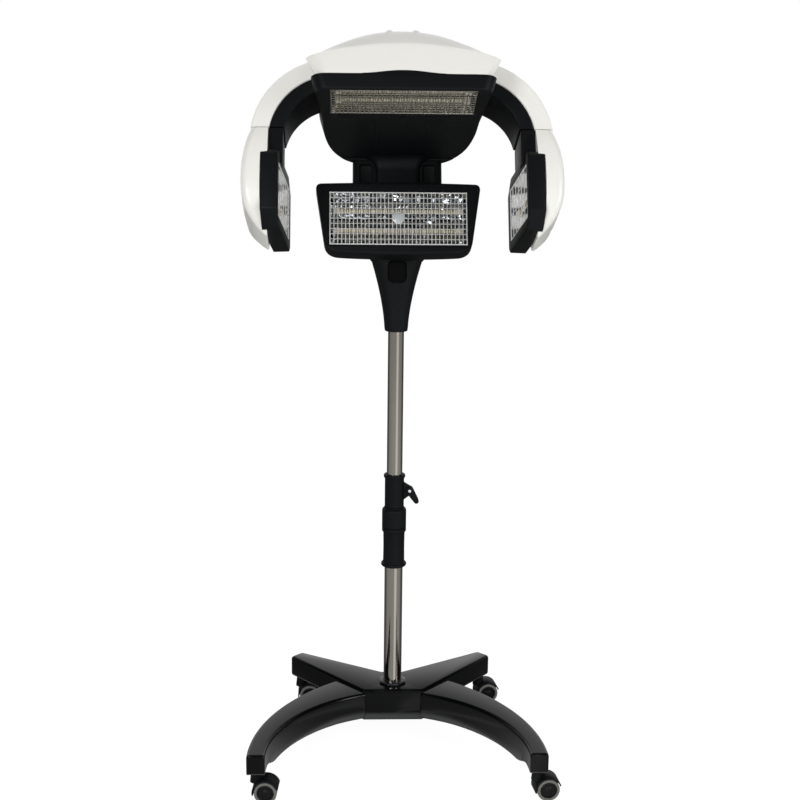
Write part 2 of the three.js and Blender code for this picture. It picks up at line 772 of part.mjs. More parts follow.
function innerShell() {
  const pan = panBody(0, hoodUnderside, panTop);
  const hollow = panBody(panWall, hoodUnderside + panWall, panTop + panWall);
  const mouth = box(topLampWidth, topLampLength, panHeight).translate(0, -topLampForward, hoodUnderside);
  const columnDepth = columnFront - columnRear;
  const column = slab(roundedRectangle(hoodRearWidth, columnDepth, 10), columnHeight, 0, 1, 3);
  column.translate(0, -(columnFront + columnRear) / 2, columnBottom);
  const spineFoot = napeCentre + napeHeight / 2 + napeCrown + seatGap;
  const spineHeight = hoodUnderside + panWall - spineFoot;
  const spine = slab(roundedRectangle(spineWidth, spineProud * 2, 8), spineHeight, 0, 1, 3);
  spine.translate(0, -columnFront, spineFoot);
  const knuckle = rodAlongX(knuckleDiameter, knuckleWidth, 24);
  const stalkTop = columnBottom + 2 * panWall;
  const stalkOutline = new THREE.Shape([
    new THREE.Vector2(-stalkRear, 0),
    new THREE.Vector2(stalkFront, 0),
    new THREE.Vector2(stalkFront, stalkTop / 2),
    new THREE.Vector2(columnFront - 3 * panWall, columnBottom + panWall),
    new THREE.Vector2(columnFront - 3 * panWall, stalkTop),
    new THREE.Vector2(columnRear, stalkTop),
    new THREE.Vector2(columnRear, columnBottom),
    new THREE.Vector2(-stalkRear, stalkTop / 2),
  ]);
  const stalk = slab(stalkOutline, knuckleWidth, 0).rotateX(Math.PI / 2).rotateZ(-Math.PI / 2);
  stalk.translate(knuckleWidth / 2, 0, 0);
  const pinHole = rodAlongX(tiltPinDiameter + 2 * seatGap, knuckleWidth * 2, 16);
  const back = box(hoodRearWidth - 4 * panWall, 2 * (columnDepth - panWall), columnHeight - 4 * panWall);
  back.translate(0, -columnRear, columnBottom + columnHeight / 2);
  return cut(join(cut(pan, hollow), cut(column, back), spine, stalk, knuckle), mouth, pinHole);
}

part(head, 'inner_shell', innerShell(), 'blackPlastic');

// The hood as arches across its width, from the front fascia back to the column
const hoodLength = hoodFront - hoodRear;
const hoodStations = [
  { share: 0, rise: 0.16 },
  { share: 0.026, rise: 0.52 },
  { share: 0.068, rise: 0.86 },
  { share: 0.12, rise: 1 },
  { share: 0.29, rise: 0.96 },
  { share: 0.49, rise: 0.82 },
  { share: 0.7, rise: 0.62 },
  { share: 0.87, rise: 0.42 },
  { share: 1, rise: 0.22 },
];

function hoodHalfWidth(back) {
  const drawn = Math.max(back - hoodStraight, 0) / (hoodLength - hoodStraight);
  const corner = back < hoodCorner ? hoodCorner * (1 - Math.sqrt(1 - (1 - back / hoodCorner) ** 2)) : 0;
  const taper = hoodTaper * Math.min(back / hoodStraight, 1);
  const narrow = (hoodFrontWidth - hoodRearWidth) / 2 - hoodTaper;
  return flareRatio * (hoodFrontWidth / 2 - corner - taper - narrow * (1 - Math.sqrt(1 - drawn ** 2)));
}

// One ring of the hood: an arch with a flat foot, swollen above its rim
function hoodArch({ share, rise }, inset, foot, count = 18) {
  const back = share * hoodLength;
  const half = hoodHalfWidth(back) - inset;
  const height = hoodRise * rise - inset;
  const depth = hoodFront - THREE.MathUtils.clamp(back, inset, hoodLength - inset);
  const arch = Array.from({ length: count + 1 }, (unused, i) => {
    const turn = (Math.PI * i) / count;
    const [c, s] = [Math.cos(turn), Math.sin(turn)];
    const swell = 1 + (hoodBulge - 1) * 4 * s * (1 - s);
    const across = half * swell * Math.sign(c) * Math.abs(c) ** 0.8;
    return new THREE.Vector3(across, -depth, foot + Math.max(height, 1) * s ** 0.8);
  });
  arch[0].z = foot;
  arch[count].z = foot;
  return arch;
}

function hoodBody(inset, foot) {
  return loft(hoodStations.map((station) => hoodArch(station, inset, foot)));
}

const hoodFoot = panTop + seatGap;
part(head, 'hood_cover', cut(hoodBody(0, hoodFoot), hoodBody(hoodWall, hoodFoot - 1)), 'whitePlastic');

const rearCoverBack = columnRear - rearCoverDepth;
const rearCoverTop = hoodUnderside - runGap;
const rearCoverBottom = columnBottom + 6;
const rearCoverHeight = rearCoverTop - rearCoverBottom;
const rearCoverMiddle = (rearCoverTop + rearCoverBottom) / 2;
const rearCover = slab(
  roundedRectangle(hoodRearWidth, rearCoverHeight, rearCoverCorner),
  rearCoverDepth + rearCoverEdge,
  rearCoverEdge,
  2,
  3,
);
rearCover.rotateX(-Math.PI / 2).translate(0, -columnRear - rearCoverEdge, rearCoverMiddle);
const columnRoom = box(hoodRearWidth * 2, 2 * rearCoverEdge, rearCoverHeight * 2);
columnRoom.translate(0, -columnRear + seatGap - rearCoverEdge, rearCoverMiddle);
const switchSunk = switchDepth - switchProud;
const switchRoom = box(switchWidth + 2 * runGap, switchSunk * 2, switchHeight + 2 * runGap);
switchRoom.translate(0, -rearCoverBack, switchUp);
const rearHollowDepth = rearCoverDepth - switchSunk - 2 * panWall;
const rearHollow = box(hoodRearWidth - 2 * rearCoverEdge, 2 * rearHollowDepth, rearCoverHeight - 2 * rearCoverEdge);
rearHollow.translate(0, -columnRear, rearCoverMiddle);
part(head, 'rear_cover', cut(rearCover, columnRoom, switchRoom, rearHollow), 'whitePlastic');

const panelPlate = slab(roundedRectangle(panelWidth, panelHeight, 8), panelThickness, 0.8, 1, 2);
panelPlate.rotateX(-Math.PI / 2).translate(0, -rearCoverBack + 2 * seatGap, panelUp);
part(head, 'control_panel', panelPlate, 'panel');

const rocker = new THREE.Shape();
rocker.moveTo(0, switchHeight / 2);
rocker.lineTo(switchDepth * 0.75, switchHeight / 2);
rocker.lineTo(switchDepth * 0.5, 0);
rocker.lineTo(switchDepth * 0.95, -switchHeight / 2);
rocker.lineTo(0, -switchHeight / 2);
const rockerBody = slab(rocker, switchWidth, 0).rotateX(Math.PI / 2).rotateZ(Math.PI / 2);
rockerBody.translate(-switchWidth / 2, -rearCoverBack - switchSunk + switchFloorGap, switchUp);
part(head, 'power_switch', rockerBody, 'blackPlastic');

// Lamps: a pressed tray, quartz tubes and a welded wire grille, facing +Z of their own frame

function lampTray(width, height, depth) {
  const trough = (inset, floor) => {
    const top = height / 2 - inset;
    const low = height * 0.34 - inset;
    return new THREE.Shape([
      new THREE.Vector2(-top, 0),
      new THREE.Vector2(-low, -floor),
      new THREE.Vector2(low, -floor),
      new THREE.Vector2(top, 0),
    ]);
  };
  const outer = slab(trough(0, depth), width, 0).translate(0, 0, -width / 2);
  const inner = slab(trough(reflectorWall, depth - reflectorWall), width - 2 * reflectorWall, 0);
  inner.translate(0, 0, -width / 2 + reflectorWall).translate(0, 0.01, 0);
  return cut(outer, inner).rotateX(Math.PI / 2).rotateZ(Math.PI / 2);
}

function wireGrille(width, height, columns, rows) {
  const plate = box(width, height, grilleDepth).translate(0, 0, -grilleDepth / 2);
  const gapWidth = (width - grilleWire) / columns - grilleWire;
  const gapHeight = (height - grilleWire) / rows - grilleWire;
  const gaps = [];
  for (let i = 0; i < columns; i += 1) {
    for (let j = 0; j < rows; j += 1) {
      const x = (i - (columns - 1) / 2) * (gapWidth + grilleWire);
      const y = (j - (rows - 1) / 2) * (gapHeight + grilleWire);
      gaps.push(box(gapWidth, gapHeight, grilleDepth * 3).translate(x, y, 0));
    }
  }
  return cut(plate, ...gaps);
}

function lamp(group, prefix, { width, height, depth, columns, rows, tubes }) {
  const [wide, tall] = [width - 2 * seatGap, height - 2 * seatGap];
  const trayDepth = depth - grilleDepth - 2 * seatGap;
  const tray = lampTray(wide, tall, trayDepth).translate(0, 0, -grilleDepth - seatGap);
  part(group, `${prefix}_reflector`, tray, 'mirror');
  const reach = wide - 2 * reflectorWall - 2 * seatGap;
  for (let i = 0; i < tubes; i += 1) {
    const tube = rodAlongX(tubeDiameter, reach, 10);
    tube.translate(0, (i - (tubes - 1) / 2) * tubeSpacing, -grilleDepth - seatGap - trayDepth * 0.5);
    part(group, `${prefix}_tube_${i + 1}`, tube, 'quartz');
  }
  part(group, `${prefix}_grille`, wireGrille(wide, tall, columns, rows), 'steel');
}

const topLamp = new THREE.Group();
topLamp.position.set(0, -topLampForward, hoodUnderside);
topLamp.rotation.x = Math.PI;
head.add(topLamp);
lamp(topLamp, 'top_lamp', {
  width: topLampWidth, height: topLampLength, depth: topLampDepth, columns: 13, rows: 3, tubes: 2,
});

// Nape lamp housing: a tapered box with rounded edges
function napeShape() {
  const [top, bottom] = [napeTopWidth / 2, napeBottomWidth / 2];
  const half = napeHeight / 2;
  const shape = new THREE.Shape();
  shape.moveTo(-top + napeCorner, half);
  shape.quadraticCurveTo(0, half + napeCrown, top - napeCorner, half);
  shape.quadraticCurveTo(top, half, top, half - napeCorner);
  shape.lineTo(bottom + 4, -half + 2.2 * napeCorner);
  shape.quadraticCurveTo(bottom, -half + 4, bottom - 2.2 * napeCorner, -half + 2);
  shape.quadraticCurveTo(0, -half - 4, -bottom + 2.2 * napeCorner, -half + 2);
  shape.quadraticCurveTo(-bottom, -half + 4, -bottom - 4, -half + 2.2 * napeCorner);
  shape.lineTo(-top, half - napeCorner);
  shape.quadraticCurveTo(-top, half, -top + napeCorner, half);
  return shape;
}

const napeGroup = new THREE.Group();
napeGroup.position.set(0, -napeFace, napeCentre);
napeGroup.rotation.x = Math.PI / 2;
head.add(napeGroup);
const napeBody = slab(napeShape(), napeDepth - seatGap, 4, 2, 5).translate(0, 0, -napeDepth + seatGap);
const napePocket = box(napeLampWidth, napeLampHeight, napeLampDepth * 2);
part(napeGroup, 'nape_housing', cut(napeBody, napePocket), 'blackPlastic');
lamp(napeGroup, 'nape_lamp', {
  width: napeLampWidth, height: napeLampHeight, depth: napeLampDepth, columns: 14, rows: 4, tubes: 2,
});
const sensor = revolve([
  [0, seatGap],
  [sensorDiameter / 2, seatGap],
  [sensorDiameter / 2, sensorHeight - 2],
  [sensorDiameter / 2 - 3, sensorHeight],
  [0, sensorHeight],
], 18);
part(napeGroup, 'nape_sensor', sensor, 'steel');

// Arms: a black inner band and a white outer shell, cut to the hood, with a hinge for the side unit

const seamAngle = degrees(armSeam);
const hingeOut = armCentreOut + (armOuterRadius - hingeInset) * Math.cos(seamAngle);
const hingeUp = armCentreUp + (armOuterRadius - hingeInset) * Math.sin(seamAngle);
const armMiddle = armFront - armDepth / 2;
const hoodRoom = hoodBody(-3 * seatGap, panTop);
const panRoom = panBody(-seatGap, hoodUnderside - seatGap, panTop + seatGap);

// Extrudes a shape of (out, up) from the arm's front face to its rear
function armSlab(shape, edge, depth = armDepth) {
  return slab(shape, depth, edge, 2, 4).rotateX(Math.PI / 2).translate(0, -armMiddle + depth / 2, 0);
}

function armSector(outer, inner) {
  const shape = new THREE.Shape();
  shape.absarc(armCentreOut, armCentreUp, outer, degrees(-10), degrees(96));
  shape.absarc(armCentreOut, armCentreUp, inner, degrees(96), degrees(-10), true);
  return shape;
}

function belowSeam(gap) {
  const height = armOuterRadius;
  return box(armOuterRadius * 4, armDepth * 3, height).translate(armCentreOut, -armMiddle, hingeUp + gap - height / 2);
}

const knuckleRoll = (radius, length, ahead) =>
  rodAlongY(2 * radius, length, 12).translate(hingeOut, -armMiddle - ahead, hingeUp);
const rollRadius = hingeInset - seatGap;
const endRoll = (armDepth - hingeKnuckle) / 2 - armEdge - runGap;
const endRollAhead = (hingeKnuckle + endRoll) / 2 + runGap / 2;
const hingeHole = knuckleRoll(hingePinDiameter / 2 + seatGap, armDepth, 0);

function armShell(side) {
  const band = cut(
    armSlab(armSector(armOuterRadius, armSplitRadius + seatGap), armEdge),
    belowSeam(runGap / 2),
    facingSide(side, hoodRoom),
    panRoom,
  );
  const rolls = [knuckleRoll(rollRadius, endRoll, endRollAhead), knuckleRoll(rollRadius, endRoll, -endRollAhead)];
  const middleRoom = knuckleRoll(hingeInset + runGap, hingeKnuckle + runGap, 0);
  return facingSide(side, cut(join(band, ...rolls), middleRoom, hingeHole));
}

function armFrame(side) {
  const band = armSlab(armSector(armSplitRadius, armInnerRadius), armEdge / 2);
  return facingSide(side, cut(band, belowSeam(runGap / 2), facingSide(side, hoodRoom), panRoom));
}

// Side units: a toed-in black lamp housing under a white cover that follows the arm's curve

function sideFrame(side) {
  const outward = new THREE.Vector3(side, 0, 0);
  const up = new THREE.Vector3(0, 0, 1);
  const facing = outward.clone().negate();
  const along = up.clone().cross(facing);
  const toe = new THREE.Matrix4().makeRotationZ(side * degrees(sideToe));
  const basis = new THREE.Matrix4().makeBasis(along, up, facing);
  const place = new THREE.Matrix4().makeTranslation(side * sideFace, -sideForward, sideBottom + sideHeight / 2);
  return place.multiply(toe).multiply(basis);
}

function sideOutline(side, grow) {
  const [half, tall] = [sideLength / 2 + grow, sideHeight / 2 + grow];
  const forward = side;
  const small = sideCorner / 3;
  return new THREE.Shape([
    new THREE.Vector2(forward * half, tall - small),
    new THREE.Vector2(forward * (half - small), tall),
    new THREE.Vector2(-forward * (half - sideCorner), tall),
    new THREE.Vector2(-forward * half, tall - sideCorner),
    new THREE.Vector2(-forward * half, -tall + small),
    new THREE.Vector2(-forward * (half - small), -tall),
    new THREE.Vector2(forward * (half - sideCorner), -tall),
    new THREE.Vector2(forward * half, -tall + sideCorner),
  ]);
}

const seamTop = hingeUp - runGap / 2;
const armFaceOut = armCentreOut + armInnerRadius;
const armSplitOut = armCentreOut + armSplitRadius;

function sideHousing(side) {
  const body = slab(sideOutline(side, 0), sideThickness, 3, 1).translate(0, 0, -sideThickness);
  const pocket = box(sideLampLength, sideLampHeight, sideLampDepth * 2);
  const tray = cut(body, pocket).applyMatrix4(sideFrame(side));
  const overlap = 14;
  const top = sideBottom + sideHeight - overlap;
  const width = armSplitOut - armFaceOut;
  const bridge = box(width, armDepth, seamTop - top);
  bridge.translate(side * (armFaceOut + width / 2), -armMiddle, (seamTop + top) / 2);
  const wideRoom = box(sideLampLength, sideLampHeight, sideLampDepth * 2).applyMatrix4(sideFrame(side));
  return cut(join(tray, bridge), wideRoom);
}

// The cover's outline at a height: swells below the seam, then curls in under the housing
function sideCoverRing(up, inset) {
  const swell = (seamTop + sideCoverBottom) * 0.5;
  const above = Math.max(up - swell, 0) / (seamTop - swell);
  const below = Math.max(swell - up, 0) / (swell - sideCoverBottom);
  const seamOut = armCentreOut + armOuterRadius * Math.cos(seamAngle);
  const out = sideCoverOut - (sideCoverOut - seamOut) * above ** 2 - sideCurlOut * below ** 3 - inset;
  const grow = 1 - above ** 2 - sideDraw * below ** 2;
  const front = armFront + (sideForward + sideLength / 2 - armFront) * grow - sideCurlEnds * below ** 3 - inset;
  const armRear = armFront - armDepth;
  const rear = armRear - (armRear - sideForward + sideLength / 2) * grow + sideCurlEnds * below ** 3 + inset;
  const base = armSplitOut + seatGap - inset;
  const corner = Math.min((out - base) * 0.6, sideCoverCorner);
  const shape = new THREE.Shape();
  shape.moveTo(base, -front);
  shape.lineTo(out - corner, -front);
  shape.quadraticCurveTo(out, -front, out, -front + corner);
  shape.lineTo(out, -rear - corner);
  shape.quadraticCurveTo(out, -rear, out - corner, -rear);
  shape.lineTo(base, -rear);
  return shape.getPoints(3).map((p) => new THREE.Vector3(p.x, p.y, up));
}

function sideCover(side) {
  const steps = [0, 0.12, 0.28, 0.45, 0.6, 0.74, 0.86, 0.95, 1];
  const drop = sideCoverBottom - seamTop;
  const rings = steps.map((step) => sideCoverRing(seamTop + drop * step, 0));
  const hollowSteps = [0.05, 0.28, 0.6, 0.86, 0.94];
  const hollow = loft(hollowSteps.map((step) => sideCoverRing(seamTop + drop * step, sideCoverWall)));
  const roomDepth = 2 * sideThickness;
  const housingRoom = slab(sideOutline(1, seatGap), roomDepth, 0);
  const aheadRoom = box(sideCorner, sideHeight + 2 * seatGap, roomDepth);
  aheadRoom.translate((sideLength + sideCorner) / 2, 0, roomDepth / 2);
  const room = join(housingRoom, aheadRoom).translate(0, 0, -sideThickness - seatGap);
  const roll = knuckleRoll(rollRadius, hingeKnuckle - runGap, 0);
  const body = cut(
    join(cut(loft(rings), hollow), roll),
    room.applyMatrix4(sideFrame(1)),
    knuckleRoll(hingeInset + runGap, endRoll + runGap, endRollAhead),
    knuckleRoll(hingeInset + runGap, endRoll + runGap, -endRollAhead),
    hingeHole,
  );
  return facingSide(side, body);
}

for (const [name, side] of Object.entries(sides)) {
  part(head, `arm_shell_${name}`, armShell(side), 'whitePlastic');
  part(head, `arm_frame_${name}`, armFrame(side), 'blackPlastic');
  const hingePin = knuckleRoll(hingePinDiameter / 2, armDepth - 2 * armEdge - 4, 0);
  part(head, `hinge_pin_${name}`, facingSide(side, hingePin), 'steel');
  part(head, `side_cover_${name}`, sideCover(side), 'whitePlastic');
  part(head, `side_housing_${name}`, sideHousing(side), 'blackPlastic');
  const sideLamp = new THREE.Group();
  sideLamp.applyMatrix4(sideFrame(side));
  head.add(sideLamp);
  lamp(sideLamp, `side_lamp_${name}`, {
    width: sideLampLength, height: sideLampHeight, depth: sideLampDepth, columns: 6, rows: 3, tubes: 1,
  });
}

// The pole stands behind the middle of the footprint, and a little aside because the casters trail to one side
assembly.position.x = -casterTrail * 0.4;
assembly.position.y = (frontReach + legOverhang - rearInnerTip.y) / 2;

export default assembly;
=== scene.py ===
# Hair colour processor, dressed over its CAD frame: gloss hood, wire-grilled lamps, chrome mast and caster base.
import json
import math

import bpy
from mathutils import Matrix, Vector


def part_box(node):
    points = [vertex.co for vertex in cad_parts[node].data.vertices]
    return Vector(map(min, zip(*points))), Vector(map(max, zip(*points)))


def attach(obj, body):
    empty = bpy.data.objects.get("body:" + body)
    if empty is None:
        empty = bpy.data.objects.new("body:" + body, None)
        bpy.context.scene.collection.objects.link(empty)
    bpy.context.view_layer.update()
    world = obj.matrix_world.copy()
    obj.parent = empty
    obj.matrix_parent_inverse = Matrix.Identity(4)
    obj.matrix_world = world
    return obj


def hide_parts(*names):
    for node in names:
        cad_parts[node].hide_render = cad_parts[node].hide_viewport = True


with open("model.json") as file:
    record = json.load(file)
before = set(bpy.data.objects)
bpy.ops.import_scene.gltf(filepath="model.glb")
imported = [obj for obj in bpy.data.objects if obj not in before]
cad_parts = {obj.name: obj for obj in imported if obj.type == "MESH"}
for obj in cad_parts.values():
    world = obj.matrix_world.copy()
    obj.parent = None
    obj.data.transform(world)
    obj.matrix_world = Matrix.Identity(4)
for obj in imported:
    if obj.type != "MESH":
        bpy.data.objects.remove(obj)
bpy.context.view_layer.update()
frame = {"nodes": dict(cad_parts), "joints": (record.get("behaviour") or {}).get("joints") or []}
mm = 0.001
joints = {joint["name"]: joint for joint in frame["joints"]}
sideSign = {"left": -1, "right": 1}
poleX = joints["head_tilt"]["pos_m"][0]


# Pieces are drawn with the pole at x = 0, and shifted to their place when they are finished
def jointPoint(name):
    return Vector(joints[name]["pos_m"]) - Vector((poleX, 0, 0))


print("frame loaded with", len(frame["nodes"]), "nodes")


# Materials

def linear(hexColour):
    channels = [int(hexColour[i:i + 2], 16) / 255 for i in (1, 3, 5)]
    return tuple(c / 12.92 if c <= 0.04045 else ((c + 0.055) / 1.055) ** 2.4 for c in channels) + (1,)


# Sockets go by name, or by number where a node has two of one name
def addNode(tree, kind, settings=None, links=None):
    node = tree.nodes.new(kind)
    for name, value in (settings or {}).items():
        if isinstance(name, int) or name in node.inputs:
            node.inputs[name].default_value = value
        else:
            setattr(node, name, value)
    for name, source in (links or {}).items():
        tree.links.new(source, node.inputs[name])
    return node


def newFinish(name, settings):
    finish = bpy.data.materials.new(name)
    finish.use_nodes = True
    shader = finish.node_tree.nodes["Principled BSDF"]
    for socket, value in settings.items():
        shader.inputs[socket].default_value = value
    return finish


# Fine relief of the moulding, spraying or pressing, as bump
def addGrain(finish, grainSize, depth, detail=2):
    tree = finish.node_tree
    place = addNode(tree, "ShaderNodeTexCoord")
    grain = addNode(tree, "ShaderNodeTexNoise", {"Scale": 1 / grainSize, "Detail": detail},
                    {"Vector": place.outputs["Object"]})
    bump = addNode(tree, "ShaderNodeBump", {"Strength": 0.5, "Distance": depth}, {"Height": grain.outputs["Fac"]})
    tree.links.new(bump.outputs["Normal"], tree.nodes["Principled BSDF"].inputs["Normal"])


# Handling leaves the gloss uneven: roughness drifts about the value set
def addWear(finish, patch, spread):
    tree = finish.node_tree
    roughness = tree.nodes["Principled BSDF"].inputs["Roughness"]
    place = addNode(tree, "ShaderNodeTexCoord")
    cloud = addNode(tree, "ShaderNodeTexNoise", {"Scale": 1 / patch, "Detail": 4}, {"Vector": place.outputs["Object"]})
    middle = roughness.default_value
    drift = addNode(tree, "ShaderNodeMapRange", {
        "From Min": 0.3, "From Max": 0.7, "To Min": max(middle - spread, 0), "To Max": middle + spread},
        {"Value": cloud.outputs["Fac"]})
    tree.links.new(drift.outputs["Result"], roughness)


# Faces that look down are painted a lighter grey: a painted reflection of the bright floor below
def paintFloorReflection(finish, paint, reflectedGrey):
    tree = finish.node_tree
    place = addNode(tree, "ShaderNodeTexCoord")
    way = addNode(tree, "ShaderNodeSeparateXYZ", links={"Vector": place.outputs["Normal"]})
    downward = addNode(tree, "ShaderNodeMapRange", {"From Min": -0.15, "From Max": -0.32}, {"Value": way.outputs["Z"]})
    ramp = addNode(tree, "ShaderNodeValToRGB", links={"Fac": downward.outputs["Result"]})
    for stop, colour in zip(ramp.color_ramp.elements, (paint, reflectedGrey)):
        stop.color = linear(colour)
    tree.links.new(ramp.outputs["Color"], tree.nodes["Principled BSDF"].inputs["Base Color"])


# Dark bands painted on a bright sheet, one above and one below its tube: painted reflections of dark surroundings
def paintReflectionBands(finish, node, pale, dark, spacing):
    tree = finish.node_tree
    low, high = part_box(node)
    place = addNode(tree, "ShaderNodeTexCoord")
    level = addNode(tree, "ShaderNodeMapping", {"Location": (0, 0, (spacing - low.z - high.z) / 2)},
                    {"Vector": place.outputs["Object"]})
    bands = addNode(tree, "ShaderNodeTexWave", {
        "bands_direction": "Z", "Scale": math.pi / (10 * spacing), "Distortion": 2, "Detail": 1, "Detail Scale": 2},
        {"Vector": level.outputs["Vector"]})
    ramp = addNode(tree, "ShaderNodeValToRGB", links={"Fac": bands.outputs["Fac"]})
    for stop, position, colour in zip(ramp.color_ramp.elements, (0.12, 0.42), (dark, pale)):
        stop.position = position
        stop.color = linear(colour)
    tree.links.new(ramp.outputs["Color"], tree.nodes["Principled BSDF"].inputs["Base Color"])


# Warm white ABS, moulded in a polished tool: a soft gloss with clear highlights
whiteAbs = newFinish("whiteAbs", {
    "Base Color": linear("#e9e8e3"), "Roughness": 0.3, "IOR": 1.54, "Coat Weight": 0.2, "Coat Roughness": 0.1})
addGrain(whiteAbs, 30 * mm, 0.12 * mm)
# Black ABS, moulded in a finely etched tool: satin, with a faint blue cast
blackAbs = newFinish("blackAbs", {
    "Base Color": linear("#0d0f11"), "Roughness": 0.5, "IOR": 1.5, "Specular IOR Level": 0.16})
addGrain(blackAbs, 1.2 * mm, 0.05 * mm)
# Enamel sprayed on the steel legs: deep black with sharp reflections, and a painted grey floor reflection on the faces
# below
blackEnamel = newFinish("blackEnamel", {
    "Base Color": linear("#040505"), "Roughness": 0.2, "IOR": 1.5, "Specular IOR Level": 0.2,
    "Coat Weight": 0.06, "Coat Roughness": 0.05})
addGrain(blackEnamel, 9 * mm, 0.03 * mm)
paintFloorReflection(blackEnamel, "#040505", "#484949")
# Chromed steel tube: a near mirror, a little warm
chromePlate = newFinish("chromePlate", {"Base Color": linear("#b9b4ab"), "Metallic": 1, "Roughness": 0.09})
addWear(chromePlate, 25 * mm, 0.05)
# Bright nickel-plated wire and small fittings, dulled by heat to a satin white
brightSteel = newFinish("brightSteel", {"Base Color": linear("#f4f4f2"), "Metallic": 0.4, "Roughness": 0.34})
addWear(brightSteel, 4 * mm, 0.12)
# The same wire further from the light, bare and browned
dullSteel = newFinish("dullSteel", {"Base Color": linear("#cfccc3"), "Metallic": 1, "Roughness": 0.32})
addWear(dullSteel, 4 * mm, 0.12)
# Zinc-plated plate with a rolled surface: a dull grey gleam
zincPlate = newFinish("zincPlate", {"Base Color": linear("#5a5c5f"), "Metallic": 1, "Roughness": 0.38})
addWear(zincPlate, 6 * mm, 0.15)
# Polished aluminium sheet, wavy from pressing, so that it mirrors the room in patches
reflectorSheet = newFinish("reflectorSheet", {"Base Color": linear("#c6c9cc"), "Metallic": 1, "Roughness": 0.06})
addGrain(reflectorSheet, 26 * mm, 12 * mm, 1)
# The same sheet over the crown, browned by its own heat
brownedSheet = newFinish("brownedSheet", {"Base Color": linear("#7d786a"), "Metallic": 1, "Roughness": 0.2})
addGrain(brownedSheet, 30 * mm, 3 * mm, 1)
# Satin aluminium of the side lamps: broad and bright, with two dark bands of painted reflection
satinSheet = newFinish("satinSheet", {"Base Color": linear("#f8f8f8"), "Metallic": 0.2, "Roughness": 0.4})
addGrain(satinSheet, 25 * mm, 1.5 * mm, 1)
paintReflectionBands(satinSheet, "side_lamp_left_reflector", "#f8f8f8", "#4a4d50", 44 * mm)
# Grey thermoplastic rubber of the caster treads: matt, lightly grained
treadRubber = newFinish("treadRubber", {"Base Color": linear("#6a6a66"), "Roughness": 0.62})
addGrain(treadRubber, 1.5 * mm, 0.08 * mm)
# Black nylon of wheel discs, bushes and the cord gland: satin from the mould
blackNylon = newFinish("blackNylon", {
    "Base Color": linear("#08090a"), "Roughness": 0.5, "IOR": 1.53, "Specular IOR Level": 0.3})
addGrain(blackNylon, 0.8 * mm, 0.03 * mm)
# Rubber on the release button: partly its own black, partly painted shade, darkened to stand for the shade inside its
# recess
buttonShadeRubber = newFinish("buttonShadeRubber", {"Base Color": linear("#040405"), "Roughness": 0.7, "Specular IOR Level": 0.1})
addGrain(buttonShadeRubber, 0.6 * mm, 0.04 * mm)
# Printed foil over the control panel: slate grey, even and satin
panelFoil = newFinish("panelFoil", {"Base Color": linear("#33383f"), "Roughness": 0.35})
addGrain(panelFoil, 0.6 * mm, 0.02 * mm)
# Moulded silicone of the keys: pale and matt
keySilicone = newFinish("keySilicone", {"Base Color": linear("#b9bdc2"), "Roughness": 0.55})
addGrain(keySilicone, 0.5 * mm, 0.02 * mm)
# Opal glass over the nape sensor: milky, with a polished face
opalGlass = newFinish("opalGlass", {"Base Color": linear("#c3cacc"), "Roughness": 0.1, "IOR": 1.5, "Coat Weight": 1})
addWear(opalGlass, 5 * mm, 0.08)
# Unglazed steatite at the tube ends: chalky and cream
ceramicEnd = newFinish("ceramicEnd", {"Base Color": linear("#d9d3c6"), "Roughness": 0.7})
addGrain(ceramicEnd, 0.7 * mm, 0.06 * mm)
# Smoked window of the timer display: almost black, with clear reflections
displayGlass = newFinish("displayGlass", {"Base Color": linear("#0c1412"), "Roughness": 0.06, "Coat Weight": 1})
addWear(displayGlass, 12 * mm, 0.04)


# Quartz tube with the heating coil seen through it: warm turns on a milky ground
def quartzFinish():
    finish = newFinish("quartzCoil", {"Roughness": 0.12, "IOR": 1.46})
    tree = finish.node_tree
    turnSpacing = 5 * mm  # real turns are closer, and would not show
    place = addNode(tree, "ShaderNodeTexCoord")
    turns = addNode(tree, "ShaderNodeTexWave", {"Scale": math.pi / (10 * turnSpacing), "Distortion": 0},
                    {"Vector": place.outputs["Object"]})
    ramp = addNode(tree, "ShaderNodeValToRGB", links={"Fac": turns.outputs["Fac"]})
    for stop, position, colour in zip(ramp.color_ramp.elements, (0.3, 0.6), ("#9c8f72", "#e8e2cf")):
        stop.position = position
        stop.color = linear(colour)
    tree.links.new(ramp.outputs["Color"], tree.nodes["Principled BSDF"].inputs["Base Color"])
    return finish


quartzCoil = quartzFinish()
print("materials mixed")


# Modelling helpers

def deselectAll():
    if bpy.context.object and bpy.context.object.mode == "EDIT":
        bpy.ops.object.mode_set(mode="OBJECT")
    bpy.ops.object.select_all(action="DESELECT")


def pick(obj):
    deselectAll()
    obj.select_set(True)
    bpy.context.view_layer.objects.active = obj


def openEdit(obj):
    pick(obj)
    bpy.ops.object.mode_set(mode="EDIT")
    bpy.ops.mesh.select_all(action="SELECT")


def closeEdit(outward=True):
    bpy.ops.mesh.select_all(action="SELECT")
    if outward:
        bpy.ops.mesh.normals_make_consistent(inside=False)
    bpy.ops.object.mode_set(mode="OBJECT")


def addOutline(points, fill="NGON"):
    deselectAll()
    bpy.ops.mesh.primitive_circle_add(vertices=len(points), radius=1, fill_type=fill)
    obj = bpy.context.object
    for vertex, point in zip(obj.data.vertices, points):
        vertex.co = Vector(point)
    return obj


def slab(points, height):
    obj = addOutline([(x, y, 0) for x, y in points])
    openEdit(obj)
    bpy.ops.mesh.extrude_region_move(TRANSFORM_OT_translate={"value": (0, 0, height)})
    closeEdit()
    return obj


